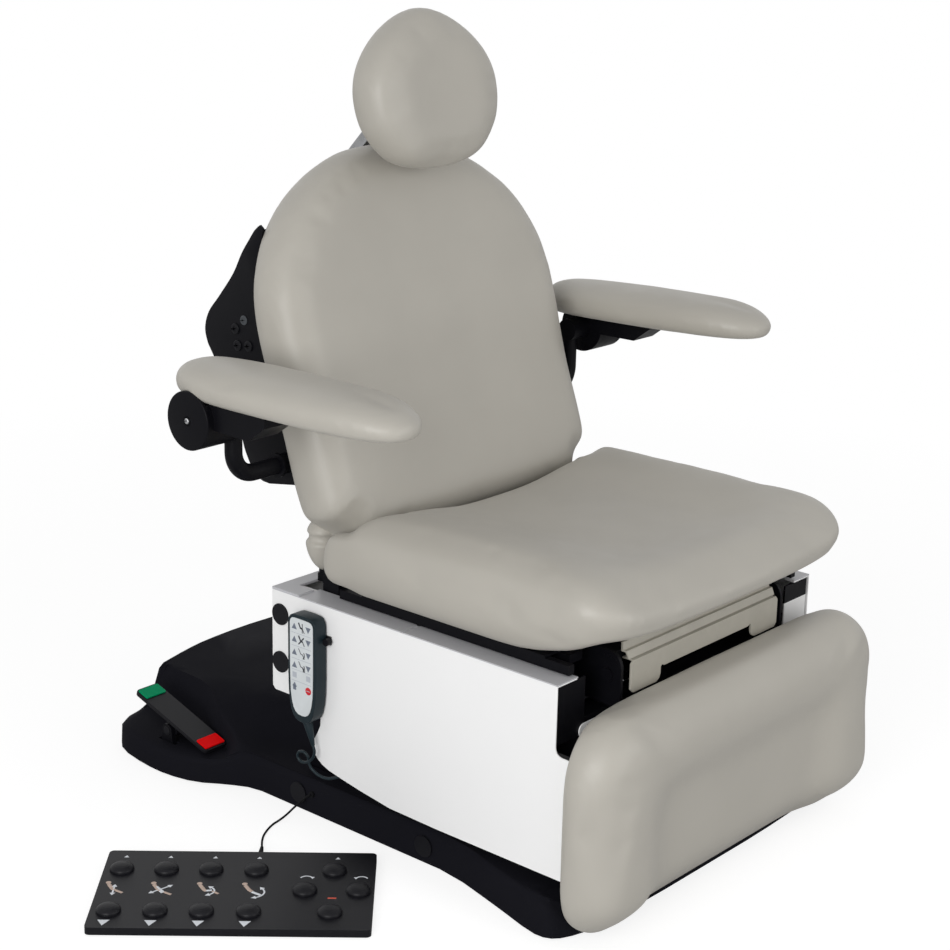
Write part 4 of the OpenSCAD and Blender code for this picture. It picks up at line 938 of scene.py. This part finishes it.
class CHAIR_OT_stage(bpy.types.Operator):
    """Set the floor, the lamps and the camera"""
    bl_idname = "chair.stage"
    bl_label = "Stage"

    def execute(self, context):
        deselect()
        bpy.ops.mesh.primitive_plane_add(size=FLOOR_SIZE, location=(0, 0, 0))
        floor = bpy.context.active_object
        floor.name = "floor"
        paint = bpy.data.materials.new("studio_floor_pale")
        paint.use_nodes = True
        tree = paint.node_tree
        tree.nodes.clear()
        matt = node(tree, "ShaderNodeBsdfDiffuse", {"Color": (FLOOR_GREY, FLOOR_GREY, FLOOR_GREY, 1)})
        shadow = node(tree, "ShaderNodeBsdfDiffuse", {"Color": (SHADOW_GREY, SHADOW_GREY, SHADOW_GREY, 1)})
        glow = node(tree, "ShaderNodeEmission", {"Color": (1, 1, 1, 1), "Strength": FLOOR_GLOW})
        near = node(tree, "ShaderNodeAddShader", links={0: shadow.outputs[0], 1: glow.outputs[0]})
        white = node(tree, "ShaderNodeEmission", {"Color": (1, 1, 1, 1), "Strength": 1.0})
        place = node(tree, "ShaderNodeTexCoord").outputs["Object"]
        reach = node(tree, "ShaderNodeVectorMath", {"operation": "LENGTH"}, {0: place})
        fade = node(tree, "ShaderNodeMapRange", {"From Min": FADE_FROM, "From Max": FADE_TO},
                    {"Value": reach.outputs["Value"]})
        shown = node(tree, "ShaderNodeMixShader",
                     links={0: fade.outputs["Result"], 1: near.outputs[0], 2: white.outputs[0]})
        seen = node(tree, "ShaderNodeLightPath").outputs["Is Camera Ray"]
        mix = node(tree, "ShaderNodeMixShader", links={0: seen, 1: matt.outputs[0], 2: shown.outputs[0]})
        node(tree, "ShaderNodeOutputMaterial", links={"Surface": mix.outputs[0]})
        floor.data.materials.append(paint)

        world = bpy.data.worlds.new("studio")
        context.scene.world = world
        world.use_nodes = True
        tree = world.node_tree
        tree.nodes.clear()
        path = node(tree, "ShaderNodeLightPath")
        shown = node(tree, "ShaderNodeMath", {"operation": "MAXIMUM"},
                     {0: path.outputs["Is Camera Ray"], 1: path.outputs["Is Glossy Ray"]})
        strength = node(tree, "ShaderNodeMapRange", {"To Min": WORLD_LIGHT, "To Max": 1.0},
                        {"Value": shown.outputs[0]})
        sky = node(tree, "ShaderNodeBackground", {"Color": (1, 1, 1, 1)},
                   {"Strength": strength.outputs["Result"]})
        node(tree, "ShaderNodeOutputWorld", links={"Surface": sky.outputs[0]})

        for name, place, size, power in LAMPS:
            self.lamp(name, place, size, power)
        self.camera(context)
        context.scene.view_settings.view_transform = "Standard"
        return {"FINISHED"}

    def camera(self, context):
        """A camera that sees what the photograph's did."""
        flat = math.cos(CAMERA_PITCH)
        ahead = Vector((math.sin(CAMERA_YAW) * flat, math.cos(CAMERA_YAW) * flat, -math.sin(CAMERA_PITCH)))
        right = ahead.cross(Vector((0, 0, 1))).normalized()
        up = right.cross(ahead)
        turn_cos = math.cos(CAMERA_ROLL)
        turn_sin = math.sin(CAMERA_ROLL)
        right, up = (right * turn_cos + up * turn_sin, up * turn_cos - right * turn_sin)
        lens = bpy.data.cameras.new("camera")
        lens.sensor_width = SENSOR
        lens.lens = FOCAL / PHOTO * SENSOR
        lens.shift_x = (PHOTO / 2 - CENTRE[0]) / PHOTO
        lens.shift_y = (CENTRE[1] - PHOTO / 2) / PHOTO
        lens.clip_end = 50
        camera = bpy.data.objects.new("camera", lens)
        turn = Matrix((right, up, -ahead)).transposed().to_4x4()
        camera.matrix_world = Matrix.Translation(CAMERA_PLACE) @ turn
        context.collection.objects.link(camera)
        context.scene.camera = camera

    def lamp(self, name, place, size, power):
        """A soft square lamp that faces the chair."""
        data = bpy.data.lights.new(name, "AREA")
        data.size = size
        data.energy = power
        made = bpy.data.objects.new(name, data)
        made.location = place
        made.rotation_euler = (Vector(LAMP_TARGET) - Vector(place)).to_track_quat("-Z", "Y").to_euler()
        bpy.context.collection.objects.link(made)


class CHAIR_PT_panel(bpy.types.Panel):
    """Lists the chair's operators"""
    bl_label = "Podiatry chair"
    bl_idname = "CHAIR_PT_panel"
    bl_space_type = "VIEW_3D"
    bl_region_type = "UI"
    bl_category = "Chair"

    def draw(self, context):
        for operator in OPERATORS:
            self.layout.operator(operator.bl_idname)
        for group in (context.scene.chair_sizes, context.scene.chair_look):
            for key in group.__annotations__:
                self.layout.prop(group, key)


OPERATORS = (CHAIR_OT_finishes, CHAIR_OT_stage, CHAIR_OT_cords, CHAIR_OT_cushions, CHAIR_OT_rigid,
             CHAIR_OT_base_cover, CHAIR_OT_back_shell, CHAIR_OT_handset, CHAIR_OT_foot_marks,
             CHAIR_OT_fasteners)
CLASSES = (ChairSizes, ChairLook, *OPERATORS, CHAIR_PT_panel)
MATERIALS = {}


def register():
    for c in CLASSES:
        bpy.utils.register_class(c)
    bpy.types.Scene.chair_sizes = bpy.props.PointerProperty(type=ChairSizes)
    bpy.types.Scene.chair_look = bpy.props.PointerProperty(type=ChairLook)


def unregister():
    del bpy.types.Scene.chair_look
    del bpy.types.Scene.chair_sizes
    for c in reversed(CLASSES):
        bpy.utils.unregister_class(c)


def main():
    global SIZES, LOOK
    register()
    SIZES = bpy.context.scene.chair_sizes
    LOOK = bpy.context.scene.chair_look
    bpy.ops.chair.finishes()
    bpy.ops.chair.stage()
    bpy.ops.chair.cords()
    bpy.ops.chair.cushions()
    bpy.ops.chair.rigid()
    bpy.ops.chair.base_cover()
    bpy.ops.chair.back_shell()
    bpy.ops.chair.handset()
    bpy.ops.chair.foot_marks()
    bpy.ops.chair.fasteners()


if __name__ == "__main__":
    main()
